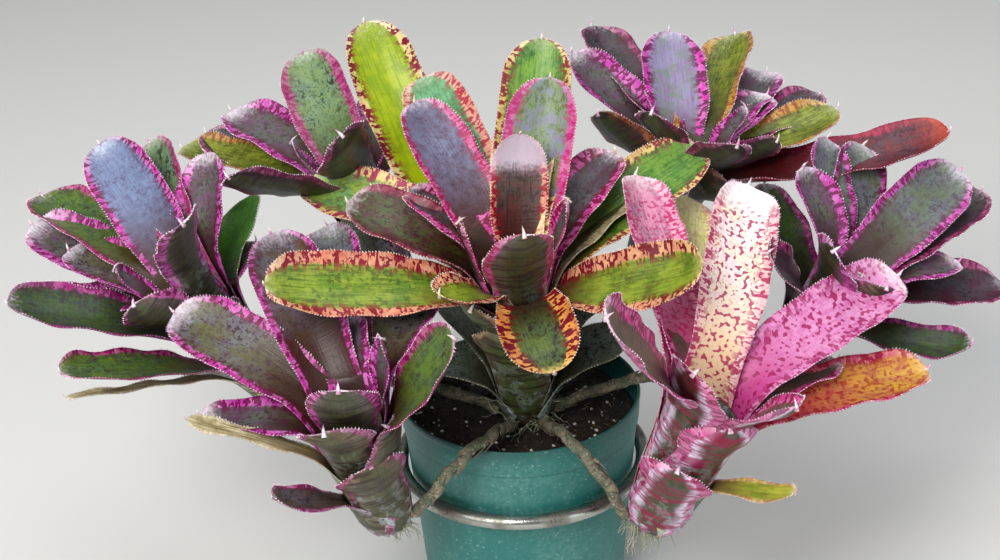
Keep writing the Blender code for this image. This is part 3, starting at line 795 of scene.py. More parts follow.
def bladeGrid(rosette, shape, layer, seed):
    # centre surface of one leaf: a clasping sheath below, then the free strap;
    # rows run up the leaf, columns across it
    height, turn, lean, tipLean, length, width, roll = shape
    foot, axis, tall, right, back = rosetteFrame(rosette)
    rng = np.random.default_rng(seed)
    turn, lean, tipLean, roll = (radians(x) for x in (turn, lean, tipLean, roll))
    outward = right * cos(turn) + back * sin(turn)
    sideways = np.cross(axis, outward)
    columns = np.sin(np.linspace(-pi / 2, pi / 2, blade["columns"]) * 0.8) / sin(0.4 * pi)

    width = width * blade["breadth"]
    rounding = min(0.42, blade["rounding"] * width / 2 / length)
    full = 1 - rounding
    tipSteps = np.sin(np.linspace(0, pi / 2, blade["tipRows"])[1:])
    s = np.concatenate([np.linspace(0, full, blade["rows"]), full + rounding * tipSteps])
    angle = lean + (tipLean - lean) * s
    ways = axis * np.cos(angle)[:, None] + outward * np.sin(angle)[:, None]
    steps = (ways[1:] + ways[:-1]) / 2 * (np.diff(s) * length)[:, None]
    clear = vaseRadius(rosette, height) + blade["gap"]
    start = foot + axis * (tall * height) + outward * clear
    spine = start + np.concatenate([np.zeros((1, 3)), np.cumsum(steps, axis=0)])
    upper = axis * np.sin(angle)[:, None] - outward * np.cos(angle)[:, None]
    twist = roll * np.minimum(s / 0.5, 1)
    normal = upper * np.cos(twist)[:, None] + sideways * np.sin(twist)[:, None]
    across = sideways * np.cos(twist)[:, None] - upper * np.sin(twist)[:, None]
    tip = np.clip((s - full) / rounding, 0, 1)
    widening = blade["footWidth"] + (1 - blade["footWidth"]) * soft(s / 0.4)
    half = width / 2 * widening * np.maximum(np.sqrt(np.maximum(1 - tip * tip, 0)), 0.05)
    sway = (rng.uniform(-1, 1) * blade["sway"]) * np.sin(pi * s)
    opening = (blade["channelMiddle"] - blade["channelFoot"]) * soft(s / 0.45)
    channel = blade["channelFoot"] + opening - blade["channelTip"] * soft((s - 0.7) / 0.3)
    bend = half[:, None] * columns[None, :] / channel[:, None]
    aside = channel[:, None] * np.sin(bend) + sway[:, None]
    grid = spine[:, None, :] + across[:, None, :] * aside[:, :, None]
    rise = channel[:, None] * (1 - np.cos(bend))
    hook = blade["hook"] * (width / blade["usualWidth"])
    rise = rise + hook * (np.clip((s - 0.75) / 0.25, 0, 1) ** 2)[:, None]
    phase = rng.uniform(0, 2 * pi, 4)
    ripple = np.sin(s * length * blade["ripples"][0] + phase[0])[:, None] * (columns > 0)
    ripple = ripple + np.sin(s * length * blade["ripples"][1] + phase[1])[:, None] * (columns < 0)
    rise = rise + ripple * blade["wave"] * columns ** 4 * soft(s / 0.3)[:, None]
    crease = blade["crease"] * np.exp(-(columns / blade["creaseWidth"]) ** 2)[None, :]
    rise = rise - crease * soft(s / 0.2)[:, None]
    grid = grid + normal[:, None, :] * rise[:, :, None]

    # sheath, from its bottom edge up to the neck
    t = np.linspace(1, 0, blade["sheathRows"])[:-1]
    low = max(0.03, height - blade["sheathReach"])
    share = height - t * (height - low)
    inset = min(layer * blade["sheathStep"], blade["sheathInset"])
    radius = clear + (vaseRadius(rosette, share) - inset - clear) * soft(t * 3)
    neck = half[0] / clear
    spread = neck + (radians(blade["sheathSpread"]) - neck) * soft(t * 2.2)
    spread = spread * (1 - 0.35 * soft((t - 0.45) / 0.55))
    swing = turn + spread[:, None] * columns[None, :]
    aroundAxis = right * np.cos(swing)[:, :, None] + back * np.sin(swing)[:, :, None]
    droop = blade["sheathDroop"] * (columns ** 2)[None, :] * soft(t * 2)[:, None]
    level = foot + axis * (tall * share)[:, None, None]
    sheath = level + aroundAxis * radius[:, None, None] - axis * droop[:, :, None]
    sheet = np.concatenate([sheath, grid])
    neckRow = len(t)
    # ease the fold between sheath and strap
    for _ in range(blade["neckPasses"]):
        near = slice(neckRow - 4, neckRow + 4)
        before = sheet[neckRow - 5:neckRow + 3]
        after = sheet[neckRow - 3:neckRow + 5]
        sheet[near] = sheet[near] * 0.5 + (before + after) * 0.25

    alongShare = np.concatenate([-t, s])
    alongMetres = np.concatenate([-t * tall * (height - low), s * length])
    halfWidth = np.concatenate([spread * radius, half])
    return sheet, columns, alongShare, alongMetres, halfWidth, neckRow


def writeVectors(mesh, label, values):
    mesh.attributes.new(label, "FLOAT_VECTOR", "POINT").data.foreach_set(
        "vector", np.array(values, np.float32).ravel())


def leafPiece(name, rosette, row, layer, seed):
    shape, kind = row[:7], row[7]
    hornFinish = spineHorn[rosette["horn"]]
    full, columns, share, metres, half, neckRow = bladeGrid(rosette, shape, layer, seed)
    rows, count = full.shape[:2]
    alongWay = unit(np.gradient(full, axis=0))
    acrossWay = unit(np.gradient(full, axis=1))
    normal = unit(np.cross(alongWay, acrossWay))
    body = np.where(share < 0, 0.6, 1.25 - 0.55 * np.clip(share, 0, 1))
    thick = blade["thickness"] * body[:, None] * (1 - 0.68 * columns ** 2)[None, :]
    thick[-1] *= 0.5
    lift = normal * thick[:, :, None] / 2
    points = np.concatenate([(full + lift).reshape(-1, 3), (full - lift).reshape(-1, 3)])
    index = np.arange(rows * count).reshape(rows, count)
    a, b = index[:-1, :-1].ravel(), index[1:, :-1].ravel()
    c, d = index[1:, 1:].ravel(), index[:-1, 1:].ravel()
    under = rows * count
    faces = [tuple(f) for f in np.stack([a, b, c, d], 1).tolist()]
    faces += [tuple(f) for f in (np.stack([d, c, b, a], 1) + under).tolist()]
    ring = list(index[:, 0]) + list(index[-1, 1:]) + list(index[::-1, -1][1:]) + list(index[0, ::-1][1:-1])
    for i, j in zip(ring, ring[1:] + ring[:1]):
        faces.append((int(j), int(i), int(i) + under, int(j) + under))
    bladeFaces = len(faces)
    # a pale horn at the tip
    tip, sides = (-1, count // 2), blade["hornSides"]
    tipWay = unit(alongWay[tip] + normal[tip] * 0.7)
    one = unit(np.cross(tipWay, acrossWay[tip]))
    two = np.cross(tipWay, one)
    base = len(points)
    size = blade["hornWidth"] * shape[5] / blade["usualWidth"]
    root = full[tip] - tipWay * 0.002
    turns = [k * 2 * pi / sides for k in range(sides)]
    collar = [root + (one * cos(a) + two * sin(a)) * size for a in turns]
    middle = [p + tipWay * blade["hornLength"] * 0.6 - (p - root) * 0.5 for p in collar]
    curl = normal[tip] * blade["hornLength"] * 0.25
    points = np.concatenate([points, collar, middle, [root + tipWay * blade["hornLength"] + curl]])
    upper = base + sides
    for k in range(sides):
        n = (k + 1) % sides
        faces.append((base + k, base + n, upper + n, upper + k))
        faces.append((upper + k, upper + n, upper + sides))
    faces.append(tuple(base + k for k in reversed(range(sides))))

    mesh = bpy.data.meshes.new(name)
    mesh.from_pydata([tuple(p) for p in points], [], faces)
    total = len(points)
    place = np.zeros((total, 3), np.float32)
    spot = np.zeros((total, 3), np.float32)
    way = np.zeros((total, 3), np.float32)
    margin = np.zeros(total, bool)
    place[:under, 0] = place[under:2 * under, 0] = np.tile(columns, rows)
    place[:under, 1] = place[under:2 * under, 1] = np.repeat(share, count)
    place[:under, 2] = 1.0
    acrossMetres = (half[:, None] * columns[None, :]).ravel()
    spot[:under, 0] = spot[under:2 * under, 0] = acrossMetres
    spot[:under, 1] = spot[under:2 * under, 1] = np.repeat(metres, count)
    free = slice(neckRow + 3, rows - 2)
    for column, sign in ((0, -1), (count - 1, 1)):
        rim = index[free, column]
        margin[rim] = True
        way[rim] = unit(acrossWay[free, column] * sign + alongWay[free, column] * 0.6)
    for label, values in (("bladePlace", place), ("bladeMetres", spot), ("spineWay", way)):
        writeVectors(mesh, label, values)
    mesh.attributes.new("margin", "BOOLEAN", "POINT").data.foreach_set("value", margin)
    mesh.polygons.foreach_set("use_smooth", [True] * len(faces))
    mesh.polygons.foreach_set("material_index", [0] * bladeFaces + [1] * (len(faces) - bladeFaces))
    skin = finishWith("skin_" + name, bladePattern, {**leafLooks[kind], "Seed": float(seed % 97) * 0.31})
    mesh.materials.append(skin)
    mesh.materials.append(hornFinish)
    mesh.update()
    return settle(addPiece(name, mesh), marginSpines, {
        "Spacing": blade["spineSpacing"], "Length": blade["spineLength"], "Width": blade["spineWidth"],
        "Seed": seed, "Horn": hornFinish})


def plantRosette(name, rosette):
    rows = {**rosette["leaves"], **rosette["extras"]}
    order = sorted(rows, key=lambda label: rows[label][0])
    for layer, label in enumerate(order):
        seed = sum(ord(c) * (i + 3) for i, c in enumerate(name + label)) % 9973
        piece = leafPiece(name + "_" + label, rosette, rows[label], layer, seed)
        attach(piece, "root")
        if label in rosette["leaves"]:
            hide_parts(name + "_leaf_" + label)
    print(name, "planted:", len(rows), "leaves")


for rosetteName, rosette in rosettes.items():
    plantRosette(rosetteName, rosette)


# plain builders for the other pieces

def ringFaces(low, high, sides):
    # faces between two rings of points that start at low and at high
    return [(low + i, low + (i + 1) % sides, high + (i + 1) % sides, high + i) for i in range(sides)]


def endFaces(last, sides):
    # flat ends for a row of rings
    return [tuple(reversed(range(sides))), tuple(range(last, last + sides))]


def hand(piece, slot, *replaced):
    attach(piece, "root")
    if replaced:
        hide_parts(*replaced)
    return piece


def turned(name, profile, sides, closed=False):
    # a profile of (radius, height) spun round the z axis; the ends of an open profile lie on the axis
    rings = profile if closed else profile[1:-1]
    turns = np.linspace(0, 2 * pi, sides, endpoint=False)
    points = [(r * cos(a), r * sin(a), z) for r, z in rings for a in turns]
    faces = []
    for k in range(len(rings) if closed else len(rings) - 1):
        faces += ringFaces(k * sides, (k + 1) % len(rings) * sides, sides)
    if not closed:
        first, last = len(points), (len(rings) - 1) * sides
        points += [(0, 0, profile[0][1]), (0, 0, profile[-1][1])]
        for i in range(sides):
            faces.append((first, (i + 1) % sides, i))
            faces.append((first + 1, last + i, last + (i + 1) % sides))
    return smoothMesh(name, points, faces)


def rounded(points, reach=0.3, cuts=3):
    # softens the corners of a profile
    result = [points[0]]
    for before, here, after in zip(points, points[1:], points[2:]):
        p, q, r = (np.array(v, float) for v in (before, here, after))
        one, two = q + (p - q) * reach, q + (r - q) * reach
        for k in range(cuts + 1):
            f = k / cuts
            result.append(tuple(one * (1 - f) ** 2 + q * 2 * f * (1 - f) + two * f * f))
    return result + [points[-1]]


# vases: the core that shows between the sheaths

core = {"inset": 0.0052, "top": 0.80, "rings": 24, "sides": 40, "lumps": 0.03, "roughness": 0.006}


def vaseCore(name, rosette):
    foot, axis, tall, right, back = rosetteFrame(rosette)
    rng = np.random.default_rng(len(name))
    shares = list(np.linspace(0.0, core["top"], core["rings"]))
    radii = [vaseRadius(rosette, share) - core["inset"] * float(soft(share * 5)) for share in shares]
    # the hollow at the top
    shares += [0.79, 0.70, 0.64]
    radii += [radii[-1] - 0.002, radii[-1] - 0.006, 0.001]
    sides = core["sides"]
    points, place, metres = [], [], []
    for share, radius in zip(shares, radii):
        for i in range(sides):
            swing = 2 * pi * i / sides
            rough = rng.uniform(-core["roughness"], core["roughness"])
            lump = 1 + core["lumps"] * sin(3 * swing + share * 9) + rough
            outward = right * cos(swing) + back * sin(swing)
            points.append(foot + axis * (tall * share) + outward * radius * lump)
            place.append((0.6 * sin(swing * 3), -1.0, 0.0))
            metres.append((radius * swing, tall * share, 0.0))
    faces = []
    for k in range(len(shares) - 1):
        faces += ringFaces(k * sides, (k + 1) * sides, sides)
    faces += endFaces((len(shares) - 1) * sides, sides)
    mesh = smoothMesh(name + "_core", [tuple(p) for p in points], faces)
    writeVectors(mesh, "bladePlace", place)
    writeVectors(mesh, "bladeMetres", metres)
    # dull dark colours: partly the sheaths' own colour, partly painted shade inside the cups
    skin = finishWith("core_" + name, bladePattern, {
        "Edge": "#5c5046", "Bar": "#3c2a2c", "Back": "#4c4c3c", "Bars": 0.4, "Seed": float(len(name))})
    return hand(addPiece(name + "_core", mesh, skin), "leaf_base", name + "_vase")


for rosetteName, rosette in rosettes.items():
    vaseCore(rosetteName, rosette)
print("vases built")


# pot

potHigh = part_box("pot")[1]
pot = {
    "height": potHigh[2], "rimRadius": potHigh[0], "wall": 0.0022, "bandStep": 0.001, "bandHeight": 0.021,
    "bodyStep": 0.0022, "footRadius": 0.070, "drainRadius": 0.005, "drainCircle": 0.045, "drainCount": 6,
    "sides": 160}
pot["bandRadius"] = pot["rimRadius"] - pot["bandStep"]
pot["bodyTop"] = pot["rimRadius"] - pot["bodyStep"]


def plasticPattern():
    tree, given, out = newGroup("potPlastic", {
        "Body": "#23706a", "Dust": "#8fb8b2", "Shade Band": "#1c3a34", "Wear": 0.5})
    where = objectPlace(tree)
    height = partsOf(tree, where)[2]
    broad = cloud(tree, where, 16, 4)
    fine = cloud(tree, where, 260, 3)
    specks = ease(tree, cloud(tree, where, 520, 2), 0.64, 0.72)
    pale = ease(tree, plus(tree, times(tree, broad, 0.6), times(tree, fine, 0.4)), 0.45, 0.68)
    colour = blendColour(tree, times(tree, pale, 0.20), given["Body"], given["Dust"])
    drips = cloud(tree, stretch(tree, where, (170, 170, 14)), 1.0, 2)
    dripMask = times(tree, times(tree, ease(tree, drips, 0.56, 0.7), given["Wear"]), 0.45)
    colour = blendColour(tree, dripMask, colour, given["Dust"])
    colour = blendColour(tree, times(tree, specks, 0.6), colour, given["Dust"])
    # painted shade: the top of the pot, from 150 mm up to the rim, is darkened towards a deep teal
    rimShade = times(tree, ease(tree, plus(tree, height, times(tree, broad, 0.02)), 0.150, 0.163), 0.5)
    colour = blendColour(tree, rimShade, colour, given["Shade Band"])
    rough = plus(tree, 0.36, times(tree, plus(tree, pale, fine), 0.13))
    return deliver(tree, out, colour, rough, plus(tree, fine, times(tree, specks, 0.4)))


def makePot():
    top, shoulder = pot["height"], pot["height"] - pot["bandHeight"]
    outer = [
        (0, 0.0012), (pot["footRadius"] - 0.012, 0.0012), (pot["footRadius"] - 0.010, 0.0),
        (pot["footRadius"] - 0.002, 0.0), (pot["footRadius"], 0.0025),
        (pot["bodyTop"] - 0.0004, shoulder - 0.0010), (pot["bodyTop"] - 0.0006, shoulder - 0.0002),
        (pot["bandRadius"] - 0.0002, shoulder + 0.0014), (pot["bandRadius"] + 0.0003, shoulder + 0.010),
        (pot["rimRadius"] - 0.0006, top - 0.0045), (pot["rimRadius"], top - 0.0028),
        (pot["rimRadius"] - 0.0006, top), (pot["rimRadius"] - pot["wall"] - 0.0003, top - 0.0004),
        (pot["bandRadius"] - pot["wall"], shoulder + 0.004), (pot["bodyTop"] - pot["wall"], shoulder),
        (pot["footRadius"] - pot["wall"], 0.004), (pot["footRadius"] - pot["wall"] - 0.002, pot["wall"]),
        (0, pot["wall"] + 0.0008)]
    mesh = turned("plantPot", rounded(outer, 0.28, 3), pot["sides"])
    teal = finishWith("potTeal", plasticPattern(), {"Wear": 0.12}, relief=0.0002)
    piece = addPiece("plantPot", mesh, teal)
    cutter = addPiece("drainCutter", bpy.data.meshes.new("drainCutter"))
    points, faces = [], []
    sides, radius = 24, pot["drainRadius"]
    for k in range(pot["drainCount"]):
        swing = 2 * pi * (k + 0.5) / pot["drainCount"]
        x, y = pot["drainCircle"] * cos(swing), pot["drainCircle"] * sin(swing)
        base = len(points)
        for z in (-0.01, 0.008):
            turns = np.linspace(0, 2 * pi, sides, endpoint=False)
            points += [(x + radius * cos(a), y + radius * sin(a), z) for a in turns]
        faces += ringFaces(base, base + sides, sides)
        faces += [tuple(base + i for i in end) for end in endFaces(sides, sides)]
    cutter.data.from_pydata(points, [], faces)
    drain = piece.modifiers.new("drain", "BOOLEAN")
    drain.operation, drain.solver, drain.object = "DIFFERENCE", "EXACT", cutter
    graph = bpy.context.evaluated_depsgraph_get()
    cut = bpy.data.meshes.new_from_object(piece.evaluated_get(graph), depsgraph=graph)
    piece.modifiers.remove(drain)
    piece.data = cut
    bpy.data.objects.remove(cutter)
    return hand(piece, "pot", "pot")


makePot()
print("pot built")


# hoop

hoopLow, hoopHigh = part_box("pot_hoop")
hoop = {"height": (hoopLow[2] + hoopHigh[2]) / 2, "tube": (hoopHigh[2] - hoopLow[2]) / 2}
hoop["radius"] = hoopHigh[0] - hoop["tube"]


def steelPattern():
    tree, given, out = newGroup("dullSteel", {
        "Bright": "#b4b6b0", "Dull": "#6c6a60", "Rust": "#4a3524", "Age": 0.5
    }, ("Roughness", "Metal", "Relief"))
    where = objectPlace(tree)
    broad = cloud(tree, where, 45, 4)
    fine = cloud(tree, where, 600, 3)
    dull = times(tree, ease(tree, broad, 0.42, 0.62), given["Age"])
    rust = ease(tree, plus(tree, times(tree, broad, 0.5), times(tree, fine, 0.5)), 0.56, 0.64)
    rust = times(tree, rust, given["Age"])
    colour = blendColour(tree, dull, given["Bright"], given["Dull"])
    colour = blendColour(tree, rust, colour, given["Rust"])
    feed(tree, minus(tree, 1.0, times(tree, rust, 0.8)), out["Metal"])
    return deliver(tree, out, colour, plus(tree, 0.26, times(tree, plus(tree, dull, rust), 0.35)), fine)


def makeHoop():
    ring = [
        (hoop["radius"] + hoop["tube"] * cos(a), hoop["height"] + hoop["tube"] * sin(a))
        for a in np.linspace(0, 2 * pi, 28, endpoint=False)]
    mesh = turned("steelHoop", ring, 180, closed=True)
    steel = finishWith("hoopSteel", steelPattern(), {"Age": 0.6}, relief=0.00015)
    return hand(addPiece("steelHoop", mesh, steel), "hoop", "pot_hoop")


makeHoop()
print("hoop built")


# soil, bark, perlite

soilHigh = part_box("soil")[1]
soil = {
    "top": soilHigh[2], "radius": soilHigh[0], "rings": 26, "sides": 96, "waves": 14, "waviness": 220,
    "bumps": 0.0032, "sink": 0.0022, "edgeDrop": 0.004, "clear": 0.0012}
litter = {
    "barkChips": (
        {"Density": 52000.0, "Smallest": 0.0016, "Largest": 0.0052, "Shape": (1.0, 0.6, 0.3),
         "Roundness": 2, "Seed": 3},
        {"Dark": "#100c09", "Light": "#4a3828", "Contrast": 0.7}),
    "perlite": (
        {"Density": 9000.0, "Smallest": 0.0010, "Largest": 0.0030, "Shape": (1.0, 0.9, 0.8),
         "Roundness": 2, "Seed": 8},
        {"Dark": "#b8b8ae", "Light": "#f0f0ea", "Contrast": 0.9}),
    "dryNeedles": (
        {"Density": 9000.0, "Smallest": 0.004, "Largest": 0.013, "Shape": (1.0, 0.07, 0.05),
         "Roundness": 1, "Seed": 14},
        {"Dark": "#3a2e20", "Light": "#8c7c5c", "Contrast": 0.9}),
}


def scatterTree():
    tree, given, end = growTree("scatterGrains", {
        "Density": 20000.0, "Smallest": 0.001, "Largest": 0.004, "Shape": (1.0, 0.6, 0.35),
        "Roundness": 1, "Seed": 1, "Grain": None})
    spots = step(
        tree, "GeometryNodeDistributePointsOnFaces",
        {"Mesh": given["Geometry"], "Density": given["Density"], "Seed": given["Seed"]})
    grain = step(
        tree, "GeometryNodeMeshIcoSphere", {"Radius": 0.5, "Subdivisions": given["Roundness"]})["Mesh"]
    spin = randomVector(tree, ((-0.7, 0.7), (-0.7, 0.7), (0.0, 6.28)), given["Seed"], 1)
    tilted = twisted(tree, spots["Rotation"], spin)
    size = randomNumber(tree, given["Smallest"], given["Largest"], given["Seed"], 4)
    real = copiesOn(tree, spots["Points"], grain, tilted, scaled(tree, given["Shape"], size))
    lumpy = moved(tree, real, roughPush(tree, 420.0, 1.0, 0.0018))
    return paintInto(tree, lumpy, given["Grain"], end)


def earthPattern():
    tree, given, out = newGroup("earth", {
        "Dark": "#14100c", "Light": "#3c3024", "Grain Size": 260.0, "Contrast": 0.5})
    where = objectPlace(tree)
    node = tree.nodes.new("ShaderNodeTexNoise")
    tree.links.new(where, node.inputs["Vector"])
    feed(tree, given["Grain Size"], node.inputs["Scale"])
    node.inputs["Detail"].default_value = 4
    grain = node.outputs["Fac"]
    broad = cloud(tree, where, 60, 2)
    share = ease(tree, plus(tree, times(tree, grain, 0.6), times(tree, broad, 0.4)), 0.42, 0.64)
    colour = blendColour(tree, times(tree, share, given["Contrast"]), given["Dark"], given["Light"])
    return deliver(tree, out, colour, plus(tree, 0.68, times(tree, grain, 0.3)), grain)


def makeSoil():
    earth = earthPattern()
    ringCount, sides = soil["rings"], soil["sides"]
    rng = np.random.default_rng(5)
    turns = np.linspace(0, 2 * pi, sides, endpoint=False)
    points, faces = [(0, 0, soil["top"] - 0.002)], []
    phases = rng.uniform(0, 2 * pi, (soil["waves"], 3))
    waves = rng.uniform(-soil["waviness"], soil["waviness"], (soil["waves"], 2))
    for k in range(1, ringCount + 1):
        r = soil["radius"] * k / ringCount
        for a in turns:
            x, y = r * cos(a), r * sin(a)
            bumps = sum(sin(w[0] * x + w[1] * y + p[0]) for w, p in zip(waves, phases)) / soil["waves"]
            drop = soil["edgeDrop"] * (k / ringCount) ** 6
            points.append((x, y, soil["top"] - soil["sink"] + soil["bumps"] * bumps - drop))
    wall = [
        (pot["bodyTop"] - pot["wall"] - soil["clear"], 0.128),
        (pot["footRadius"] - pot["wall"] - soil["clear"], 0.006),
        (pot["footRadius"] - pot["wall"] - 0.006, 0.0032)]
    for r, z in wall:
        points += [(r * cos(a), r * sin(a), z) for a in turns]
    points.append((0, 0, 0.0034))
    faces += [(0, 1 + i, 1 + (i + 1) % sides) for i in range(sides)]
    for k in range(ringCount + 2):
        low, high = 1 + k * sides, 1 + (k + 1) * sides
        faces += [(low + i, high + i, high + (i + 1) % sides, low + (i + 1) % sides) for i in range(sides)]
    last = 1 + (ringCount + 2) * sides
    faces += [(last + i, len(points) - 1, last + (i + 1) % sides) for i in range(sides)]
    bedFinish = finishWith("soilDark", earth, {"Contrast": 0.4}, relief=0.0015)
    hand(addPiece("soilBed", smoothMesh("soilBed", points, faces), bedFinish), "soil", "soil")
    topFaces = faces[:sides * (ringCount - 1)]
    scatter = scatterTree()
    for label, (grow, finish) in litter.items():
        bed = bpy.data.meshes.new(label)
        bed.from_pydata(points[:1 + ringCount * sides], [], topFaces)
        bed.update()
        piece = addPiece(label, bed)
        material = finishWith(label + "Finish", earth, finish, relief=0.0005)
        settle(piece, scatter, {**grow, "Grain": material})
        hand(piece, "soil")


makeSoil()
print("soil built")


# stolons with nodes and dry scales

stolons = {
    "left_front": ((-0.0057, -0.0354, 0.1447), (-0.036, -0.092, 0.1585), (-0.0711, -0.0955, 0.1165)),
    "right_front": ((0.0137, -0.0348, 0.1447), (0.036, -0.092, 0.1585), (0.0649, -0.0957, 0.1095)),
    "left_outer": ((-0.0146, -0.0154, 0.1447), (-0.086, 0.004, 0.159), (-0.1518, 0.014, 0.1474)),
    "right_outer": ((0.0214, -0.0156, 0.1447), (0.092, -0.006, 0.161), (0.160, 0.004, 0.153)),
    "left_back": ((-0.0055, -0.0045, 0.1447), (-0.048, 0.044, 0.157), (-0.0765, 0.0695, 0.1835)),
    "right_back": ((0.0115, -0.0039, 0.1447), (0.050, 0.048, 0.157), (0.084, 0.0775, 0.184)),
}
runner = {
    "radius": 0.0038, "nodeSpacing": 0.013, "nodeSwell": 0.16, "wobble": 0.0006, "steps": 90,
    "scaleSpacing": 0.00924, "scaleLength": 0.009, "scaleFit": 1.02}


def barkPattern():
    tree, given, out = newGroup("runnerBark", {
        "Grey": "#75705f", "Brown": "#40342a", "Moss": "#525c46", "Age": 0.6})
    where = objectPlace(tree)
    broad = cloud(tree, where, 95, 3)
    fine = cloud(tree, where, 700, 4)
    cracks = cloud(tree, stretch(tree, where, (240, 240, 700)), 1.0, 3, 0.6)
    colour = blendColour(tree, ease(tree, broad, 0.4, 0.6), given["Grey"], given["Moss"])
    crackMask = times(tree, ease(tree, cracks, 0.48, 0.62), given["Age"])
    colour = blendColour(tree, crackMask, colour, given["Brown"])
    colour = blendColour(tree, times(tree, ease(tree, fine, 0.56, 0.7), 0.5), colour, "#c0bca8")
    relief = plus(tree, cracks, times(tree, fine, 0.4))
    return deliver(tree, out, colour, plus(tree, 0.62, times(tree, fine, 0.3)), relief)


runnerBark = barkPattern()
barkFinish = finishWith("runnerBarkFinish", runnerBark, {"Age": 0.6}, relief=0.0006)
scaleFinish = finishWith(
    "dryScale", runnerBark, {"Grey": "#948a74", "Brown": "#544636", "Moss": "#706c56", "Age": 0.7},
    relief=0.0003)
fibreFinish = finishWith(
    "dryFibre", runnerBark, {"Grey": "#b4b49c", "Brown": "#6c5c44", "Moss": "#8c967c", "Age": 0.4},
    relief=0.0002)


def scalesTree():
    tree, given, end = growTree("runnerScales", {
        "Spacing": 0.005, "Length": 0.009, "Girth": 0.004, "Lift": 0.22, "Seed": 1, "Dry": None})
    line = step(tree, "GeometryNodeMeshToCurve", {"Mesh": given["Geometry"]})["Curve"]
    even = evenCurve(tree, line, given["Spacing"])
    # one scale: a narrow cone cut open by its own steep taper, hugging the runner
    square = {"Size X": 1.0, "Size Y": 1.0, "Vertices X": 4, "Vertices Y": 5}
    flake = step(tree, "GeometryNodeMeshGrid", square)["Mesh"]
    position = step(tree, "GeometryNodeInputPosition")["Position"]
    xyz = step(tree, "ShaderNodeSeparateXYZ", {0: position})
    up = plus(tree, xyz["Y"], 0.5)
    swing = times(tree, times(tree, xyz["X"], minus(tree, 1.05, up)), 2.6)
    reach = times(tree, plus(tree, times(tree, up, given["Lift"]), 1.04), given["Girth"])
    forward = times(tree, calc(tree, "COSINE", swing), reach)
    sideways = times(tree, calc(tree, "SINE", swing), reach)
    shaped = joined(tree, forward, sideways, times(tree, up, given["Length"]))
    scale = step(tree, "GeometryNodeSetPosition", {"Geometry": flake, "Position": shaped})["Geometry"]
    grown = {"Mesh": scale, "Offset Scale": 0.00025, "Individual": False}
    thick = step(tree, "GeometryNodeExtrudeMesh", grown, mode="FACES")["Mesh"]
    whole = tree.nodes.new("GeometryNodeJoinGeometry")
    tree.links.new(thick, whole.inputs[0])
    tree.links.new(step(tree, "GeometryNodeFlipFaces", {"Mesh": scale})["Mesh"], whole.inputs[0])
    aim = aimed(tree, step(tree, "GeometryNodeInputTangent")["Tangent"])
    aim = twisted(tree, aim, joined(tree, 0.0, 0.0, randomNumber(tree, 0.0, 6.28, given["Seed"])))
    size = randomNumber(tree, 0.8, 1.15, given["Seed"], 5)
    return paintInto(tree, copiesOn(tree, even, whole.outputs[0], aim, size), given["Dry"], end)


runnerScales = scalesTree()


def pathMesh(name, points):
    mesh = bpy.data.meshes.new(name)
    mesh.from_pydata([tuple(p) for p in points], [(i, i + 1) for i in range(len(points) - 1)], [])
    return mesh


def tubeMesh(name, centres, radii, sides=18):
    centres = np.array(centres, float)
    ways = unit(np.gradient(centres, axis=0))
    side = unit(np.cross(ways[0], (0.3, 0.2, 0.93)))
    points = []
    for k, centre in enumerate(centres):
        side = unit(side - ways[k] * side.dot(ways[k]))
        other = np.cross(ways[k], side)
        points += [
            tuple(centre + (side * cos(a) + other * sin(a)) * radii[k])
            for a in np.linspace(0, 2 * pi, sides, endpoint=False)]
    faces = []
    for k in range(len(centres) - 1):
        faces += ringFaces(k * sides, (k + 1) * sides, sides)
    return smoothMesh(name, points, faces + endFaces((len(centres) - 1) * sides, sides))


def makeStolon(name, start, middle, end, seed):
    start, middle, end = (np.array(p) for p in (start, middle, end))
    pull = 2 * middle - (start + end) / 2
    f = np.linspace(0, 1, runner["steps"])[:, None]
    line = start * (1 - f) ** 2 + pull * 2 * f * (1 - f) + end * f * f
    length = np.linalg.norm(np.diff(line, axis=0), axis=1).sum()
    place = f[:, 0] * length
    rng = np.random.default_rng(seed)
    line = line + runner["wobble"] * np.sin(place[:, None] * 190 + rng.uniform(0, 6, 3))
    node = np.mod(place, runner["nodeSpacing"]) / runner["nodeSpacing"]
    swell = 0.94 + runner["nodeSwell"] * np.exp(-((node - 0.5) / 0.10) ** 2) + 0.03 * np.sin(place * 900)
    tube = tubeMesh(name + "_runner", line, runner["radius"] * swell)
    hand(addPiece(name + "_runner", tube, barkFinish), "stolon", name + "_stolon")
    scales = addPiece(name + "_scales", pathMesh(name + "_scales", line[::3]))
    settle(scales, runnerScales, {
        "Spacing": runner["scaleSpacing"], "Length": runner["scaleLength"],
        "Girth": runner["radius"] * runner["scaleFit"], "Seed": seed, "Dry": scaleFinish})
    hand(scales, "stolon")


for number, (stolonName, points) in enumerate(stolons.items()):
    makeStolon(stolonName, *points, seed=number + 11)
print("stolons built")


# root tufts and the dry fibres round the mother's foot

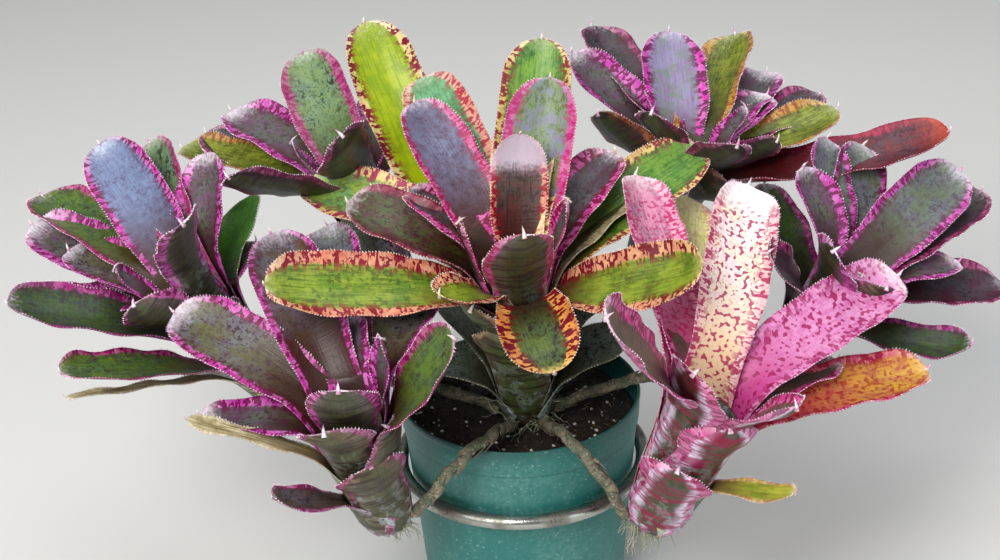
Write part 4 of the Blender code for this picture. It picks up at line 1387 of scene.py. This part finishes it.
def tuftTree():
    tree, given, end = growTree("rootTuft", {
        "Count": 40, "Length": 0.02, "Spread": 0.008, "Fan": 0.8, "Thickness": 0.0004, "Curl": 0.006,
        "Seed": 1, "Fibre": None})
    spots = step(
        tree, "GeometryNodeDuplicateElements", {"Geometry": given["Geometry"], "Amount": given["Count"]},
        domain="POINT")["Geometry"]
    drift = randomVector(tree, ((-1.0, 1.0), (-1.0, 1.0), (-0.5, 0.5)), given["Seed"], 1)
    placed = moved(tree, spots, scaled(tree, drift, given["Spread"]))
    line = step(tree, "GeometryNodeCurvePrimitiveLine", {"Start": (0, 0, 0), "End": (0, 0, 1)})["Curve"]
    fibre = step(tree, "GeometryNodeResampleCurve", {"Curve": line, "Count": 9}, mode="COUNT")["Curve"]
    stray = randomVector(tree, ((-1.0, 1.0),) * 3, given["Seed"], 4)
    ways = {0: named(tree, "growWay", "FLOAT_VECTOR"), 1: scaled(tree, stray, given["Fan"])}
    aim = aimed(tree, step(tree, "ShaderNodeVectorMath", ways, operation="ADD")["Vector"])
    size = times(tree, randomNumber(tree, 0.45, 1.1, given["Seed"], 7), given["Length"])
    real = copiesOn(tree, placed, fibre, aim, size)
    share = step(tree, "GeometryNodeSplineParameter")["Factor"]
    bend = roughPush(tree, 95.0, 2.0, times(tree, times(tree, share, given["Curl"]), 3.0))
    radius = times(tree, minus(tree, 1.15, share), given["Thickness"])
    circle = step(tree, "GeometryNodeCurvePrimitiveCircle", {"Resolution": 5, "Radius": 1.0})["Curve"]
    sweep = {
        "Curve": moved(tree, real, bend), "Profile Curve": circle, "Scale": radius, "Fill Caps": True}
    tube = step(tree, "GeometryNodeCurveToMesh", sweep)["Mesh"]
    return paintInto(tree, tube, given["Fibre"], end)


rootTuft = tuftTree()
tufts = {
    "tuftLeftFront": {
        "at": (-0.083, -0.086, 0.108), "way": (0.15, -0.1, -1.0), "Count": 60, "Length": 0.018,
        "Spread": 0.008, "Fan": 0.75, "Thickness": 0.0005, "Seed": 21},
    "tuftRightFront": {
        "at": (0.078, -0.087, 0.104), "way": (-0.1, -0.2, -1.0), "Count": 90, "Length": 0.026,
        "Spread": 0.009, "Fan": 0.6, "Thickness": 0.0006, "Seed": 22},
    "tuftLeftOuter": {
        "at": (-0.160, 0.015, 0.142), "way": (0.2, 0.0, -1.0), "Count": 30, "Length": 0.014,
        "Spread": 0.006, "Fan": 0.8, "Thickness": 0.00035, "Seed": 23},
    "tuftRightOuter": {
        "at": (0.168, 0.005, 0.150), "way": (-0.2, 0.0, -1.0), "Count": 30, "Length": 0.015,
        "Spread": 0.006, "Fan": 0.8, "Thickness": 0.00035, "Seed": 24},
    "tuftLeftBack": {
        "at": (-0.079, 0.071, 0.184), "way": (0.1, -0.1, -1.0), "Count": 26, "Length": 0.014,
        "Spread": 0.006, "Fan": 0.8, "Thickness": 0.00035, "Seed": 25},
    "tuftRightBack": {
        "at": (0.087, 0.079, 0.184), "way": (-0.1, -0.1, -1.0), "Count": 26, "Length": 0.014,
        "Spread": 0.006, "Fan": 0.8, "Thickness": 0.00035, "Seed": 26},
    "fibresMother": {
        "at": (0.004, -0.020, 0.147), "way": (0.0, -0.1, 0.25), "Count": 120, "Length": 0.030,
        "Spread": 0.013, "Fan": 1.3, "Thickness": 0.00045, "Seed": 27},
}
for tuftName, tuft in tufts.items():
    seedPoint = bpy.data.meshes.new(tuftName)
    seedPoint.from_pydata([tuft["at"]], [], [])
    writeVectors(seedPoint, "growWay", tuft["way"])
    piece = addPiece(tuftName, seedPoint)
    settle(piece, rootTuft, {**tuft, "Fibre": fibreFinish})
    hand(piece, "stolon")
print("roots built")


# floor, lights, camera

def makeStage():
    mesh = bpy.data.meshes.new("paleFloor")
    mesh.from_pydata([(-6, -6, 0), (6, -6, 0), (6, 6, 0), (-6, 6, 0)], [], [(0, 1, 2, 3)])
    paint = bpy.data.materials.new("paleFloorPaint")
    paint.use_nodes = True
    shader = paint.node_tree.nodes["Principled BSDF"]
    shader.inputs["Base Color"].default_value = (0.78, 0.78, 0.77, 1)
    shader.inputs["Roughness"].default_value = 0.8
    floor = addPiece("paleFloor", mesh, paint)
    lamps = {
        "key": {"at": (-1.0, -1.7, 1.9), "size": 1.4, "power": 68, "colour": (1.0, 0.98, 0.95)},
        "fill": {"at": (1.7, -1.2, 1.1), "size": 1.8, "power": 16, "colour": (0.95, 0.97, 1.0)},
        "top": {"at": (0.1, 0.5, 2.2), "size": 1.6, "power": 18, "colour": (1.0, 1.0, 1.0)},
    }
    for name, lamp in lamps.items():
        light = bpy.data.lights.new(name, "AREA")
        light.size, light.energy, light.color = lamp["size"], lamp["power"], lamp["colour"]
        obj = bpy.data.objects.new(name, light)
        obj.location = lamp["at"]
        obj.rotation_mode = "QUATERNION"
        obj.rotation_quaternion = (Vector((0, 0, 0.2)) - Vector(lamp["at"])).to_track_quat("-Z", "Y")
        bpy.context.scene.collection.objects.link(obj)
    world = bpy.data.worlds.new("softRoom")
    world.use_nodes = True
    world.node_tree.nodes["Background"].inputs["Color"].default_value = (0.80, 0.82, 0.85, 1)
    world.node_tree.nodes["Background"].inputs["Strength"].default_value = 0.22
    bpy.context.scene.world = world
    bpy.context.scene.view_settings.view_transform = "Standard"


def makeCamera():
    lens = {"target": (-0.0105, 0.0, 0.236), "tilt": 27, "distance": 1.2, "roll": 2.3, "focal": 64.8}
    tilt, roll = radians(lens["tilt"]), radians(lens["roll"])
    back = Vector((0, -cos(tilt), sin(tilt)))
    level, rise = Vector((1, 0, 0)), Vector((0, sin(tilt), cos(tilt)))
    right = level * cos(roll) - rise * sin(roll)
    up = rise * cos(roll) + level * sin(roll)
    data = bpy.data.cameras.new("camera")
    data.lens, data.sensor_width = lens["focal"], 36
    data.clip_start = 0.05
    camera = bpy.data.objects.new("camera", data)
    turn = Matrix((right, up, back)).transposed().to_4x4()
    camera.matrix_world = Matrix.Translation(Vector(lens["target"]) + back * lens["distance"]) @ turn
    bpy.context.scene.collection.objects.link(camera)
    bpy.context.scene.camera = camera


makeStage()
makeCamera()
print("stage set")
